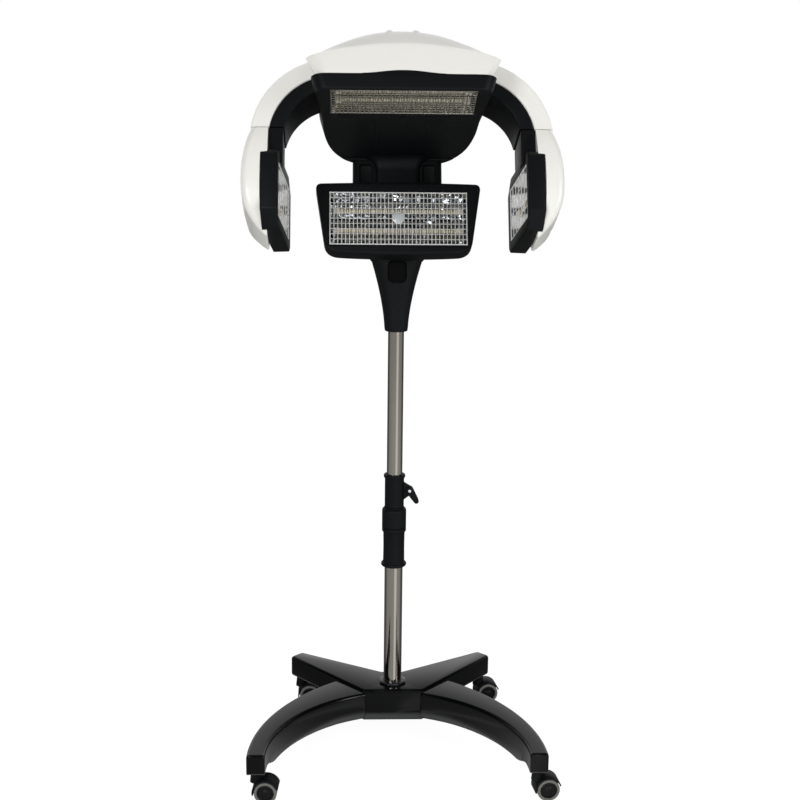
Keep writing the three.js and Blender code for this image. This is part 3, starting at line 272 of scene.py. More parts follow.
def lathe(profile, steps):
    obj = addOutline([(radius, 0, height) for radius, height in profile], "NOTHING")
    openEdit(obj)
    bpy.ops.mesh.spin(steps=steps, angle=2 * math.pi, center=(0, 0, 0), axis=(0, 0, 1))
    bpy.ops.mesh.select_all(action="SELECT")
    bpy.ops.mesh.remove_doubles(threshold=0.005 * mm)
    bpy.ops.mesh.dissolve_degenerate(threshold=0.001 * mm)
    closeEdit()
    return obj


# A grid whose rows are bent into the given rings or strips
def skin(rows, ringed=True, capped=True):
    deselectAll()
    across = [list(row) + [row[0]] if ringed else list(row) for row in rows]
    bpy.ops.mesh.primitive_grid_add(x_subdivisions=len(across[0]) - 1, y_subdivisions=len(rows) - 1, size=1)
    obj = bpy.context.object
    for vertex, point in zip(obj.data.vertices, [point for row in across for point in row]):
        vertex.co = Vector(point)
    openEdit(obj)
    bpy.ops.mesh.remove_doubles(threshold=0.005 * mm)
    if capped:
        bpy.ops.mesh.fill_holes(sides=0)
    closeEdit()
    return obj


def addModifier(obj, kind, **settings):
    pick(obj)
    modifier = obj.modifiers.new(kind.title(), kind)
    for name, value in settings.items():
        setattr(modifier, name, value)
    bpy.ops.object.modifier_apply(modifier=modifier.name)


def roundEdges(obj, width, segments=3, angle=35):
    addModifier(obj, "BEVEL", width=width, segments=segments, limit_method="ANGLE",
                angle_limit=math.radians(angle), harden_normals=False)


def carve(obj, *tools, operation="DIFFERENCE"):
    for tool in tools:
        addModifier(obj, "BOOLEAN", object=tool, operation=operation, solver="EXACT")
        bpy.data.objects.remove(tool)
    return obj


def joinAll(first, *others):
    pick(first)
    for other in others:
        other.select_set(True)
    bpy.ops.object.join()
    return first


def moveBy(obj, place):
    pick(obj)
    obj.matrix_world = place @ obj.matrix_world
    bpy.ops.object.transform_apply(location=True, rotation=True, scale=True)
    if place.determinant() < 0:
        openEdit(obj)
        closeEdit()
    return obj


def copyOf(obj, place=Matrix()):
    pick(obj)
    bpy.ops.object.duplicate()
    return moveBy(bpy.context.object, place)


# A copy of a CAD node with its loose triangles merged, ready for finer edges
def cadCopy(node):
    pick(frame["nodes"][node])
    bpy.ops.object.duplicate()
    obj = bpy.context.object
    obj.parent = None
    for key in list(obj.keys()):
        del obj[key]
    openEdit(obj)
    bpy.ops.mesh.remove_doubles(threshold=0.01 * mm)
    bpy.ops.mesh.dissolve_limited(angle_limit=math.radians(1))
    closeEdit(outward=False)
    return moveBy(obj, shifted(-poleX, 0, 0))


def finishPiece(obj, name, finish, body, nodes=(), smooth=35):
    moveBy(obj, shifted(poleX, 0, 0))
    bpy.ops.object.shade_smooth_by_angle(angle=math.radians(smooth))
    obj.name = name
    obj.data.materials.clear()
    obj.data.materials.append(finish)
    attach(obj, body)
    if nodes:
        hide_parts(*nodes)
    return obj


def turned(axis, degrees):
    return Matrix.Rotation(math.radians(degrees), 4, axis)


def shifted(x, y, z):
    return Matrix.Translation((x, y, z))


def arc(cx, cy, radius, start, end, count):
    angles = [math.radians(start + (end - start) * i / count) for i in range(count + 1)]
    return [(cx + radius * math.cos(a), cy + radius * math.sin(a)) for a in angles]


def roundedOutline(width, height, radius, count=8):
    x, y = width / 2 - radius, height / 2 - radius
    return (arc(x, -y, radius, -90, 0, count) + arc(x, y, radius, 0, 90, count)
            + arc(-x, y, radius, 90, 180, count) + arc(-x, -y, radius, 180, 270, count))


def rod(radius, length, vertices=24):
    deselectAll()
    bpy.ops.mesh.primitive_cylinder_add(vertices=vertices, radius=radius, depth=length)
    return bpy.context.object


def block(low, high):
    deselectAll()
    size = [b - a for a, b in zip(low, high)]
    middle = [(a + b) / 2 for a, b in zip(low, high)]
    bpy.ops.mesh.primitive_cube_add(size=1, location=middle, scale=size)
    bpy.ops.object.transform_apply(location=True, rotation=True, scale=True)
    return bpy.context.object


# Casters: twin grey treads with black discs under a black hood

casterShape = {
    "wheelWidth": 17 * mm, "wheelOut": 13 * mm, "discRadius": 17.5 * mm, "capRadius": 6 * mm, "boreRadius": 5 * mm,
    "fenderGap": 1.6 * mm, "fenderWall": 2.8 * mm, "fenderHalf": 21.5 * mm, "fenderFrom": 20, "fenderTo": 190,
    "webHalf": 4.5 * mm, "bossRadius": 11 * mm, "edge": 1.6 * mm,
}
poleY = joints["head_tilt"]["pos_m"][1]
stemPoint = jointPoint("swivel_rear_left")
axlePoint = jointPoint("roll_rear_left")
casterTrail = (axlePoint - stemPoint).xy.length
axleHeight = axlePoint.z
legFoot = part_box("front_leg_left")[0].z


def casterPlace(corner):
    stem = jointPoint("swivel_" + corner)
    along = jointPoint("roll_" + corner) - stem
    return shifted(stem.x, stem.y, 0) @ turned("Z", math.degrees(math.atan2(along.y, along.x)))


def tyrePiece():
    half, reach = casterShape["wheelWidth"] / 2, axleHeight
    disc, bore = casterShape["discRadius"], casterShape["boreRadius"]
    profile = [(bore, half * 0.3), (disc, half * 0.3), (disc, half - 1.6 * mm), (disc + 1 * mm, half - 0.3 * mm)]
    profile += arc(reach - 3 * mm, half - 3 * mm, 3 * mm, 90, 0, 5)
    profile += [(reach, -half + 2.4 * mm), (reach - 1.8 * mm, -half + 0.6 * mm), (bore, -half + 0.6 * mm)]
    return lathe(profile, 56)


def discPiece():
    half, disc, cap = casterShape["wheelWidth"] / 2, casterShape["discRadius"] - 0.3 * mm, casterShape["capRadius"]
    profile = [(0, half * 0.35), (disc, half * 0.35), (disc, half - 1.8 * mm), (disc - 1.2 * mm, half - 0.8 * mm)]
    profile += [(disc - 3 * mm, half - 0.8 * mm), (disc - 4 * mm, half - 2.2 * mm), (cap + 2 * mm, half - 2.2 * mm)]
    profile += [(cap, half - 0.8 * mm), (cap - 1 * mm, half - 0.2 * mm), (0, half - 0.1 * mm)]
    return lathe(profile, 48)


def casterHoodPiece():
    inner = axleHeight + casterShape["fenderGap"]
    outer = inner + casterShape["fenderWall"]
    half, soft = casterShape["fenderHalf"], casterShape["edge"]
    section = [(inner, -half), (outer - soft, -half), (outer - 0.4 * soft, -half + 0.4 * soft), (outer, -half + soft),
               (outer, half - soft), (outer - 0.4 * soft, half - 0.4 * soft), (outer - soft, half), (inner, half)]
    rows = []
    for step in range(33):
        turn = math.radians(casterShape["fenderFrom"]
                            + (casterShape["fenderTo"] - casterShape["fenderFrom"]) * step / 32)
        rows.append([(casterTrail + r * math.cos(turn), y, axleHeight + r * math.sin(turn)) for r, y in section])
    fender = skin(rows)
    web = slab(arc(0, 0, outer - soft, casterShape["fenderFrom"], casterShape["fenderTo"], 24)
               + [(-8 * mm, -8 * mm), (8 * mm, -8 * mm)], 2 * casterShape["webHalf"])
    moveBy(web, shifted(casterTrail, casterShape["webHalf"], axleHeight) @ turned("X", 90))
    boss = casterShape["bossRadius"]
    neckFoot = axleHeight + inner * 0.72
    neck = lathe([(0, neckFoot), (boss + 2 * mm, neckFoot), (boss, legFoot - 6 * mm), (boss, legFoot - 1 * mm),
                  (boss - 1 * mm, legFoot - 0.3 * mm), (0, legFoot - 0.3 * mm)], 40)
    wheelRoom = moveBy(rod(inner, 3 * half, 64), shifted(casterTrail, 0, axleHeight) @ turned("X", 90))
    carve(neck, wheelRoom)
    return joinAll(fender, web, neck)


tyre, disc, casterHood = tyrePiece(), discPiece(), casterHoodPiece()
for corner in ("front_left", "front_right", "rear_left", "rear_right"):
    place = casterPlace(corner)
    finishPiece(copyOf(casterHood, place), "casterHood_" + corner, blackAbs, "caster_" + corner,
                ["caster_hood_" + corner])
    for wheel, side in (("near", -1), ("far", 1)):
        seat = place @ shifted(casterTrail, side * casterShape["wheelOut"], axleHeight) @ turned("X", -90 * side)
        finishPiece(copyOf(tyre, seat), f"tyre_{wheel}_{corner}", treadRubber, "wheels_" + corner,
                    [f"caster_wheel_{wheel}_{corner}"])
        finishPiece(copyOf(disc, seat), f"wheelDisc_{wheel}_{corner}", blackNylon, "wheels_" + corner)
for pattern in (tyre, disc, casterHood):
    bpy.data.objects.remove(pattern)
print("casters rolled out")

# Base: hub with straight rear legs, and two curved front legs butted against it

baseShape = {
    "frontSpread": 288 * mm, "frontReach": 330 * mm, "overhang": 26 * mm, "frontEnd": 38 * mm,
    "outerRadius": 482 * mm, "innerRadius": 318 * mm, "hubFront": 67 * mm, "hubReach": 50 * mm,
    "crotch": (23 * mm, 58 * mm), "rearSpread": 208 * mm, "rearReach": 148 * mm, "rearHalf": 18.5 * mm,
    "rearOverhang": 18 * mm, "topEdge": 7 * mm, "endEdge": 1.2 * mm, "seam": 0.5 * mm,
    "nose": ((0, 4), (0.5, 2.1), (1.6, 0.8), (4, 0)),  # steps back and in round the free end, in millimetres
    "belly": 19 * mm, "chamfer": (20 * mm, 8 * mm), "chamferRun": 330 * mm, "bellyRise": (42 * mm, 115 * mm),
    "leastChamfer": 1 * mm, "hubBelly": 26 * mm, "hubBellyRear": (125 * mm, -14 * mm), "bore": 19 * mm,
}
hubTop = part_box("base_hub")[1].z
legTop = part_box("front_leg_left")[1].z
hubCorner = Vector((baseShape["hubFront"], -baseShape["hubReach"]))
rearAxle = Vector((baseShape["rearSpread"], baseShape["rearReach"]))
rearTip = rearAxle + Vector((1, 1)).normalized() * baseShape["rearOverhang"]
rearAcross = Vector((1, -1)).normalized() * baseShape["rearHalf"]
hubSide = (rearTip + rearAcross - hubCorner).normalized()


def softTop(obj, width):
    roundEdges(obj, width, 4, 50)
    return moveBy(obj, shifted(0, poleY, legFoot))


# The hub hangs deeper in front, down to the level of the front legs' roots
def hubPiece():
    half = [hubCorner, rearTip + rearAcross, rearTip - rearAcross, Vector(baseShape["crotch"])]
    outline = [tuple(p) for p in half] + [(-p.x, p.y) for p in reversed(half)]
    hub = softTop(slab(outline, hubTop - legFoot), baseShape["topEdge"])
    (up, inward), depth = baseShape["chamfer"], baseShape["hubBelly"]
    wide, back = baseShape["hubBellyRear"][0], -baseShape["hubBellyRear"][1]
    rings = []
    for inset, level in ((inward, -depth), (0, up - depth), (0, baseShape["topEdge"])):
        front = [(hubCorner.x - inset * 0.3, hubCorner.y + inset), (wide - inset * 1.2, back)]
        ring = front + [(wide * 0.4, wide * 0.55)]
        rings.append([(x, y, level) for x, y in ring] + [(-x, y, level) for x, y in reversed(ring)])
    belly = moveBy(skin(rings), shifted(0, poleY, legFoot))
    roundEdges(belly, baseShape["endEdge"], 3, 25)
    carve(hub, belly, operation="UNION")
    # The upper tube comes down into the hub when the mast is at its lowest
    bore = moveBy(rod(baseShape["bore"], 4 * hubTop, 64), shifted(0, poleY, 0))
    return carve(hub, bore)


# Where one of the leg's arcs runs into the hub's side
def hubMeeting(centre, radius):
    start = hubCorner + Vector((hubSide.y, -hubSide.x)) * baseShape["seam"] - centre
    along = start.dot(hubSide)
    return start + hubSide * (-along + math.sqrt(along ** 2 - start.length_squared + radius ** 2)) + centre


# Each station is a section across the leg: chamfered below, rounded above, and deepest at the hub
def frontLegPiece():
    endY = -baseShape["frontReach"] - baseShape["overhang"]
    edges = []
    for radius, edge in ((baseShape["innerRadius"], -0.5), (baseShape["outerRadius"], 0.5)):
        centre = Vector((baseShape["frontSpread"] + edge * baseShape["frontEnd"] - radius, endY))
        root = hubMeeting(centre, radius) - centre
        sweep = math.degrees(math.atan2(root.y, root.x))
        edges.append([Vector(p) for p in arc(centre.x, centre.y, radius, 0, sweep, 60)])
    (up, inward), (riseEnd, riseStart) = baseShape["chamfer"], baseShape["bellyRise"]
    fillet, least = baseShape["topEdge"], baseShape["leastChamfer"]
    rings = []
    for inner, outer in zip(*edges):
        along = (inner + outer) / 2 - Vector((baseShape["frontSpread"], endY))
        share = min(along.length / baseShape["chamferRun"], 1)
        fall = min(max((along.length - riseEnd) / (riseStart - riseEnd), 0), 1)
        foot = -baseShape["belly"] * fall * fall * (3 - 2 * fall)
        rise, inset = (least + (full - least) * share ** 2 for full in (up, inward))
        across, top = (outer - inner).normalized(), legTop - legFoot
        near = [(inset, foot), (0, foot + rise)] + arc(fillet, top - fillet, fillet, 180, 90, 6)
        width = (outer - inner).length
        section = near + [(width - x, y) for x, y in reversed(near)]
        # The free end is rounded over by shrunken copies of its own section
        for back, inset in (baseShape["nose"] if not rings else ((0, 0),)):
            shrink = Vector((1 - 2 * inset * mm / width, 1 - 2 * inset * mm / (top - foot)))
            ring = [(inset * mm + x * shrink.x, foot + inset * mm + (y - foot) * shrink.y) for x, y in section]
            rings.append([tuple(inner + across * x + Vector((0, back * mm))) + (y,) for x, y in ring])
    return softTop(skin(rings), baseShape["endEdge"])


finishPiece(hubPiece(), "baseHub", blackEnamel, "stand", ["base_hub"])
frontLeg = frontLegPiece()
mirrorX = Matrix.Scale(-1, 4, (1, 0, 0))
finishPiece(copyOf(frontLeg, mirrorX), "frontLegLeft", blackEnamel, "stand", ["front_leg_left"])
finishPiece(frontLeg, "frontLegRight", blackEnamel, "stand", ["front_leg_right"])
print("base standing")

# Mast: octagonal flange, two chromed tubes and the black clamp between them

mastShape = {
    "lowerRadius": 20 * mm, "upperRadius": 17 * mm, "wall": 1.5 * mm, "flangeRadius": 31.5 * mm,
    "sleeveRadius": 23.5 * mm, "sleeveFlange": 28 * mm, "sleeveFlangeHeight": 9 * mm, "ringRadius": 26.5 * mm,
    "shoulder": 8 * mm, "collarRadius": 21 * mm, "collarRim": 23.5 * mm, "lugRadius": 9 * mm, "lugHalf": 4.5 * mm,
    "leverHalf": 9.5 * mm, "leverHead": 8.5 * mm, "leverTip": 5.5 * mm, "leverLength": 28 * mm, "leverLean": 32,
    "rivetRadius": 3.4 * mm, "ringNeck": 15 * mm, "gap": 0.3 * mm,
}


def onPole(obj):
    return moveBy(obj, shifted(0, poleY, 0))


def tubePiece(node, radius):
    low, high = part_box(node)[0].z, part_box(node)[1].z
    lip = 0.5 * mm
    inner = radius - mastShape["wall"]
    return onPole(lathe([(inner, low), (radius - lip, low), (radius, low + lip), (radius, high - lip),
                         (radius - lip, high), (inner, high)], 96))


def flangePiece():
    low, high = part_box("foot_flange")[0].z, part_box("foot_flange")[1].z
    plate = slab(arc(0, 0, mastShape["flangeRadius"], 22.5, 337.5, 7), high - low)
    roundEdges(plate, 1.2 * mm, 2)
    carve(plate, rod(mastShape["lowerRadius"] + mastShape["gap"], 40 * mm, 64))
    return moveBy(plate, shifted(0, poleY, low))


def sleevePiece():
    low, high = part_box("lower_sleeve")[0].z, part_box("lower_sleeve")[1].z
    flange, body, ring = mastShape["sleeveFlange"], mastShape["sleeveRadius"], mastShape["ringRadius"]
    thick, shoulder = mastShape["sleeveFlangeHeight"], mastShape["shoulder"]
    bore = mastShape["lowerRadius"] + mastShape["gap"]
    profile = [(bore, low), (flange - 3 * mm, low)]
    profile += arc(flange - thick / 2, low + thick / 2, thick / 2, -70, 70, 8)
    profile += [(body + 1.5 * mm, low + thick), (body, low + thick + 2 * mm), (body - 0.4 * mm, (low + high) / 2)]
    profile += [(body, high - shoulder - 4 * mm), (body + 1 * mm, high - shoulder - 2 * mm)]
    profile += arc(ring - 1.2 * mm, high - shoulder + 1.2 * mm, 1.2 * mm, -90, 0, 4)
    profile += arc(ring - 1.2 * mm, high - 1.2 * mm, 1.2 * mm, 0, 90, 4) + [(bore, high)]
    return onPole(lathe(profile, 72))


def lockRingPiece():
    low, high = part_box("lock_ring")[0].z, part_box("lock_ring")[1].z
    ring, collar, neckDrop = mastShape["ringRadius"], mastShape["collarRadius"], mastShape["ringNeck"]
    bore, throat = mastShape["lowerRadius"] + mastShape["gap"], mastShape["upperRadius"] + mastShape["gap"]
    profile = [(bore, low), (ring - 1.6 * mm, low), (ring, low + 1.6 * mm), (ring, high - 8 * mm)]
    profile += arc(ring - 6 * mm, high - 8 * mm, 6 * mm, 0, 75, 8)
    profile += [(collar + 1 * mm, high), (throat, high), (throat, high - neckDrop), (bore, high - neckDrop)]
    return onPole(lathe(profile, 72))


leverPivot = jointPoint("clamp_flip")


def collarPiece():
    low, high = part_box("clamp_collar")[0].z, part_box("clamp_collar")[1].z
    wall, rim, bore = mastShape["collarRadius"], mastShape["collarRim"], mastShape["upperRadius"] + mastShape["gap"]
    profile = [(bore, low), (wall - 0.8 * mm, low), (wall, low + 0.8 * mm), (wall, high - 11 * mm)]
    profile += [(wall + 0.8 * mm, high - 8.5 * mm), (rim, high - 5.5 * mm), (rim, high - 2.5 * mm)]
    profile += arc(rim - 2.5 * mm, high - 2.5 * mm, 2.5 * mm, 0, 90, 5) + [(bore, high)]
    body = lathe(profile, 72)
    lug, reach, level = mastShape["lugRadius"], leverPivot.x, leverPivot.z
    outline = [(bore + 1 * mm, level + 2.2 * lug), (bore + 1 * mm, level - 2.4 * lug)]
    outline += [(wall + 1 * mm, level - 2.2 * lug)] + arc(reach, level, lug, -55, 65, 14)
    tongue = slab(outline, 2 * mastShape["lugHalf"])
    roundEdges(tongue, 1 * mm, 2)
    moveBy(tongue, shifted(0, mastShape["lugHalf"], 0) @ turned("X", 90))
    return onPole(joinAll(body, tongue))


def leverPiece():
    half, head, tip, long = (mastShape[key] for key in ("leverHalf", "leverHead", "leverTip", "leverLength"))
    blade = slab(arc(0, 0, head, 0, 180, 16) + arc(0, -long, tip, 180, 360, 12), 2 * half)
    roundEdges(blade, 1.8 * mm, 3)
    moveBy(blade, shifted(0, 0, -half))
    carve(blade, rod(mastShape["lugRadius"] * 1.6 + 1.2 * mm, 2 * mastShape["lugHalf"] + 2.4 * mm, 48))
    return moveBy(blade, Matrix.Translation(leverPivot) @ turned("Y", -mastShape["leverLean"]) @ turned("X", 90))


def rivetPiece():
    radius, half = mastShape["rivetRadius"], mastShape["leverHalf"]
    head = [(radius, half + 0.3 * mm), (radius * 0.7, half + 1.1 * mm), (0, half + 1.2 * mm)]
    profile = [(r, -z) for r, z in reversed(head)] + head
    return moveBy(lathe(profile, 28), Matrix.Translation(leverPivot) @ turned("X", 90))


finishPiece(flangePiece(), "footFlange", zincPlate, "stand", ["foot_flange"])
for level, body in (("lower", "stand"), ("upper", "mast")):
    tube = tubePiece(level + "_tube", mastShape[level + "Radius"])
    finishPiece(tube, level + "Tube", chromePlate, body, [level + "_tube"])
finishPiece(sleevePiece(), "lowerSleeve", blackAbs, "stand", ["lower_sleeve"])
finishPiece(lockRingPiece(), "lockRing", blackAbs, "stand", ["lock_ring"])
finishPiece(collarPiece(), "clampCollar", blackAbs, "stand", ["clamp_collar"])
finishPiece(leverPiece(), "clampLever", blackAbs, "lever", ["clamp_lever"])
finishPiece(rivetPiece(), "leverRivet", brightSteel, "stand", ["lever_pin"])
print("mast raised")

# Neck: a flared black moulding with the tilt release in front and the cord gland behind

neckShape = {
    "footWidth": 50 * mm, "pivotWidth": 106 * mm, "topWidth": 140 * mm, "pivotDepth": 68 * mm,
    "squareness": 0.86, "flare": 1.6,
    "slotHalf": 30.2 * mm, "slotFront": 21.2 * mm, "slotDrop": 19.2 * mm, "recess": (40 * mm, 50 * mm),
    "recessCorner": 13 * mm, "recessSeat": 22 * mm, "recessDrop": 16 * mm, "boreLength": 106 * mm,
    "button": (36.4 * mm, 43 * mm), "buttonCorner": 11 * mm, "buttonDepth": 3.4 * mm, "buttonTravel": 3.2 * mm,
    "dishRadius": 60 * mm, "dishDepth": 1.4 * mm, "dishUp": 4 * mm,
}
pivot = jointPoint("head_tilt")
neckFoot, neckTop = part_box("neck_shell")[0].z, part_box("neck_shell")[1].z


def ovalRing(width, depth, height, count=56):
    ring = []
    for i in range(count):
        c, s = math.cos(2 * math.pi * i / count), math.sin(2 * math.pi * i / count)
        ring.append((width / 2 * math.copysign(abs(c) ** neckShape["squareness"], c),
                     depth / 2 * math.copysign(abs(s) ** neckShape["squareness"], s), height))
    return ring


def neckPiece():
    foot, atPivot, deep = neckShape["footWidth"], neckShape["pivotWidth"], neckShape["pivotDepth"]
    rise = pivot.z - neckFoot
    top = neckShape["topWidth"]
    rows = [ovalRing(foot - inset, foot - inset, neckFoot + up) for inset, up in ((5 * mm, 0), (1.5 * mm, 1 * mm))]
    for step in range(1, 21):
        share = step / 20
        width = foot + (atPivot - foot) * share ** neckShape["flare"]
        rows.append(ovalRing(width, foot + (deep - foot) * share, neckFoot + rise * share))
    rows.append(ovalRing((atPivot + top) / 2, deep - 4 * mm, pivot.z + (neckTop - pivot.z) * 0.55))
    rows.append(ovalRing(top - 2 * mm, deep - 12 * mm, neckTop - 1 * mm))
    rows.append(ovalRing(top - 6 * mm, deep - 16 * mm, neckTop))
    neck = skin(rows)
    slot = block((-neckShape["slotHalf"], -neckShape["slotFront"], pivot.z - neckShape["slotDrop"]),
                 (neckShape["slotHalf"], deep, neckTop + deep))
    recess = slab(roundedOutline(*neckShape["recess"], neckShape["recessCorner"]), deep)
    moveBy(recess, shifted(0, -neckShape["recessSeat"], pivot.z - neckShape["recessDrop"]) @ turned("X", 90))
    bore = rod(mastShape["lowerRadius"] + mastShape["gap"], neckShape["boreLength"], 64)
    moveBy(bore, shifted(0, 0, neckFoot))
    return onPole(carve(neck, slot, recess, bore))


def buttonPiece():
    depth, radius = neckShape["buttonDepth"], neckShape["dishRadius"]
    button = slab(roundedOutline(*neckShape["button"], neckShape["buttonCorner"]), depth)
    roundEdges(button, 1.6 * mm, 3)
    # A finger's hollow, cut by a wide roller that lies across
    dish = rod(radius, 80 * mm, 96)
    moveBy(dish, shifted(0, neckShape["dishUp"], depth + radius - neckShape["dishDepth"]) @ turned("Y", 90))
    carve(button, dish)
    seat = -neckShape["recessSeat"] - neckShape["buttonTravel"]
    return moveBy(button, shifted(0, poleY + seat, pivot.z - neckShape["recessDrop"]) @ turned("X", 90))


def glandPiece():
    low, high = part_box("cord_gland")
    radius, length = (high.z - low.z) / 2, high.y - low.y
    profile = [(0, 0), (radius, 0), (radius, length * 0.4)]
    for rib in range(3):
        start = length * (0.42 + 0.19 * rib)
        for width, along in ((0.72, 0), (0.72, 0.06), (0.92, 0.09), (0.92, 0.16)):
            profile.append((radius * width, start + length * along))
    profile += [(radius * 0.5, length), (radius * 0.4, length), (radius * 0.4, length * 0.3), (0, length * 0.3)]
    return moveBy(lathe(profile, 36), shifted(0, low.y, (low.z + high.z) / 2) @ turned("X", -90))


finishPiece(neckPiece(), "neckShell", blackAbs, "neck", ["neck_shell"])
finishPiece(buttonPiece(), "tiltButton", buttonShadeRubber, "release", ["tilt_button"])
finishPiece(glandPiece(), "cordGland", blackNylon, "neck", ["cord_gland"])
print("neck fitted")

# Head: everything here is drawn square to the hood's underside, then leaned back about the tilt axis

swingAxis = Vector(joints["side_swing_right"]["axis"])
headPlace = Matrix.Translation(pivot) @ Matrix.Rotation(-math.atan2(swingAxis.z, -swingAxis.y), 4, "X")
hoodShape = {
    "front": 425 * mm, "rear": 40 * mm, "frontHalf": 165 * mm, "rearHalf": 93.5 * mm, "straight": 170 * mm,
    "corner": 22 * mm, "cornerFrom": 0.86, "taper": 12 * mm, "underside": 203.5 * mm, "panHeight": 31 * mm,
    "flare": 10 / 165, "seam": 0.4 * mm, "edge": 3 * mm,
    "rise": 121 * mm, "creaseRise": 68 * mm, "creaseBack": 16 * mm, "crestBack": 80 * mm, "rearRise": 26 * mm,
    "swell": 0.34, "swellRun": 24 * mm, "shoulder": 41 * mm, "rearShoulder": 14 * mm,
    "browLift": 4 * mm, "browOut": 17 * mm, "browRun": 90 * mm, "stripHalf": 0.45, "stripSheet": 1.2 * mm,
    "tongueHalf": (38 * mm, 22 * mm), "tongueProud": 0.9 * mm, "tongueEdge": 1.5 * mm,
    "ribOut": 26 * mm, "ribHalf": 6 * mm, "ribHeight": 4 * mm, "ribBack": 66 * mm, "ribReach": 20 * mm,
}
panTop = hoodShape["underside"] + hoodShape["panHeight"]


# The plan of the pan: straight front, tapering sides, drawn in to the column
def panPlan(inset):
    half, rear = hoodShape["frontHalf"] - inset, hoodShape["rearHalf"] - inset
    front, back = hoodShape["front"] - inset, hoodShape["rear"] + inset
    turn = hoodShape["front"] - hoodShape["straight"]
    waist, bend, corner = half - hoodShape["taper"], turn - back, hoodShape["corner"]
    curve = [Vector((rear, -back)), Vector((rear + (waist - rear) * 0.55, -back - bend * 0.1)),
             Vector((waist, -turn + bend * 0.62)), Vector((waist, -turn))]
    right = []
    for step in range(25):
        t = step / 24
        shares = ((1 - t) ** 3, 3 * t * (1 - t) ** 2, 3 * t * t * (1 - t), t ** 3)
        right.append(sum((point * share for point, share in zip(curve, shares)), Vector((0, 0))))
    right += [Vector(p) for p in arc(half - corner, -front + corner, corner, 0, -90, 10)]
    return [tuple(p) for p in right] + [(-p.x, p.y) for p in reversed(right)]


def panRing(inset, up):
    flare = 1 + hoodShape["flare"] * (up - hoodShape["underside"]) / hoodShape["panHeight"]
    return [(x * flare, y, up) for x, y in panPlan(inset)]


# An inner rim stands up behind the hood's arched front edge
def rimRing(up):
    return [(x * 0.9, y, up) for x, y in panPlan(3 * mm)]


topLampShape = {"forward": 362 * mm, "width": 278 * mm, "length": 110 * mm, "depth": 27 * mm}
pocketShape = {
    "inset": -6 * mm, "front": 282 * mm, "rear": 62 * mm, "inner": 46 * mm, "fillet": 24 * mm, "depth": 3 * mm,
    "chamfer": 10 * mm,
}
ventShape = {"radius": 1.6 * mm, "pitch": 6.6 * mm, "count": 41, "forward": 296 * mm, "depth": 5 * mm}


# A sunk panel beside the spine's forward run, rounded where the two meet
def pocketPiece():
    inner, fillet, front = pocketShape["inner"], pocketShape["fillet"], pocketShape["front"]
    rim = [(x, y) for x, y in panPlan(pocketShape["inset"]) if x > inner and -front < y < -pocketShape["rear"]]
    outer, chamfer = rim[-1][0], pocketShape["chamfer"]
    rim += [(outer, -front + chamfer), (outer - chamfer, -front)]
    rim += arc(inner + fillet, -front + fillet, fillet, -90, -180, 12) + [(inner, -pocketShape["rear"])]
    pocket = slab(rim, 2 * pocketShape["depth"])
    roundEdges(pocket, 3 * mm, 3, 50)
    return moveBy(pocket, shifted(0, 0, hoodShape["underside"] - pocketShape["depth"]))


def panPiece():
    low = hoodShape["underside"]
    pan = skin([panRing(4 * mm, low), panRing(1.6 * mm, low + 0.6 * mm), panRing(0.4 * mm, low + 2 * mm),
                panRing(0, low + 4 * mm), panRing(0, panTop - 0.6 * mm), panRing(0.8 * mm, panTop),
                rimRing(panTop), rimRing(panTop + 9 * mm)])
    half, reach, middle = topLampShape["width"] / 2, topLampShape["length"] / 2, -topLampShape["forward"]
    mouth = block((-half, middle - reach, low - 40 * mm), (half, middle + reach, panTop + 40 * mm))
    pocket = pocketPiece()
    vent = rod(ventShape["radius"], 2 * ventShape["depth"], 12)
    addModifier(vent, "ARRAY", count=ventShape["count"], use_relative_offset=False, use_constant_offset=True,
                constant_offset_displace=(ventShape["pitch"], 0, 0))
    moveBy(vent, shifted(-ventShape["pitch"] * (ventShape["count"] - 1) / 2, -ventShape["forward"], low))
    return carve(pan, mouth, copyOf(pocket, mirrorX), pocket, vent)


columnShape = {
    "front": 59 * mm, "rear": 12 * mm, "bottom": 44 * mm,
    "spineHalf": 45 * mm, "spineProud": 12 * mm, "spineFoot": 141 * mm, "spineCorner": 9 * mm,
    "flareHeight": 26 * mm, "flareOut": 20 * mm, "pocket": (28 * mm, 46 * mm, 9 * mm), "pocketOut": 66 * mm,
    "pocketUp": 172 * mm, "knuckleRadius": 18 * mm, "knuckleHalf": 29 * mm,
}


def columnPiece():
    top = hoodShape["underside"] + 4 * mm
    front, rear, bottom = columnShape["front"], columnShape["rear"], columnShape["bottom"]
    column = slab(roundedOutline(2 * hoodShape["rearHalf"], front - rear, 10 * mm), top - bottom)
    roundEdges(column, 2 * mm, 3, 60)
    moveBy(column, shifted(0, -(front + rear) / 2, bottom))
    wide, tall, deep = columnShape["pocket"]
    for side in sideSign.values():
        pocket = slab(roundedOutline(wide, tall, 8 * mm), 2 * deep)
        roundEdges(pocket, 3 * mm, 3)
        carve(column, moveBy(pocket, shifted(side * columnShape["pocketOut"], -front + deep, columnShape["pocketUp"])
                             @ turned("X", 90)))
    return column


# The spine swells into the hood's underside like a trumpet
def spinePiece():
    top, rows = hoodShape["underside"] + 1 * mm, []
    for step in range(25):
        up = columnShape["spineFoot"] + (top - columnShape["spineFoot"]) * step / 24
        near = max(0, 1 - (top - up) / columnShape["flareHeight"])
        grow = columnShape["flareOut"] * (1 - math.sqrt(1 - near ** 2))
        wide, thick = (2 * (columnShape[key] + grow) for key in ("spineHalf", "spineProud"))
        outline = roundedOutline(wide, thick, columnShape["spineCorner"] + grow / 2)
        rows.append([(x, y - columnShape["front"], up) for x, y in outline])
    return skin(rows)


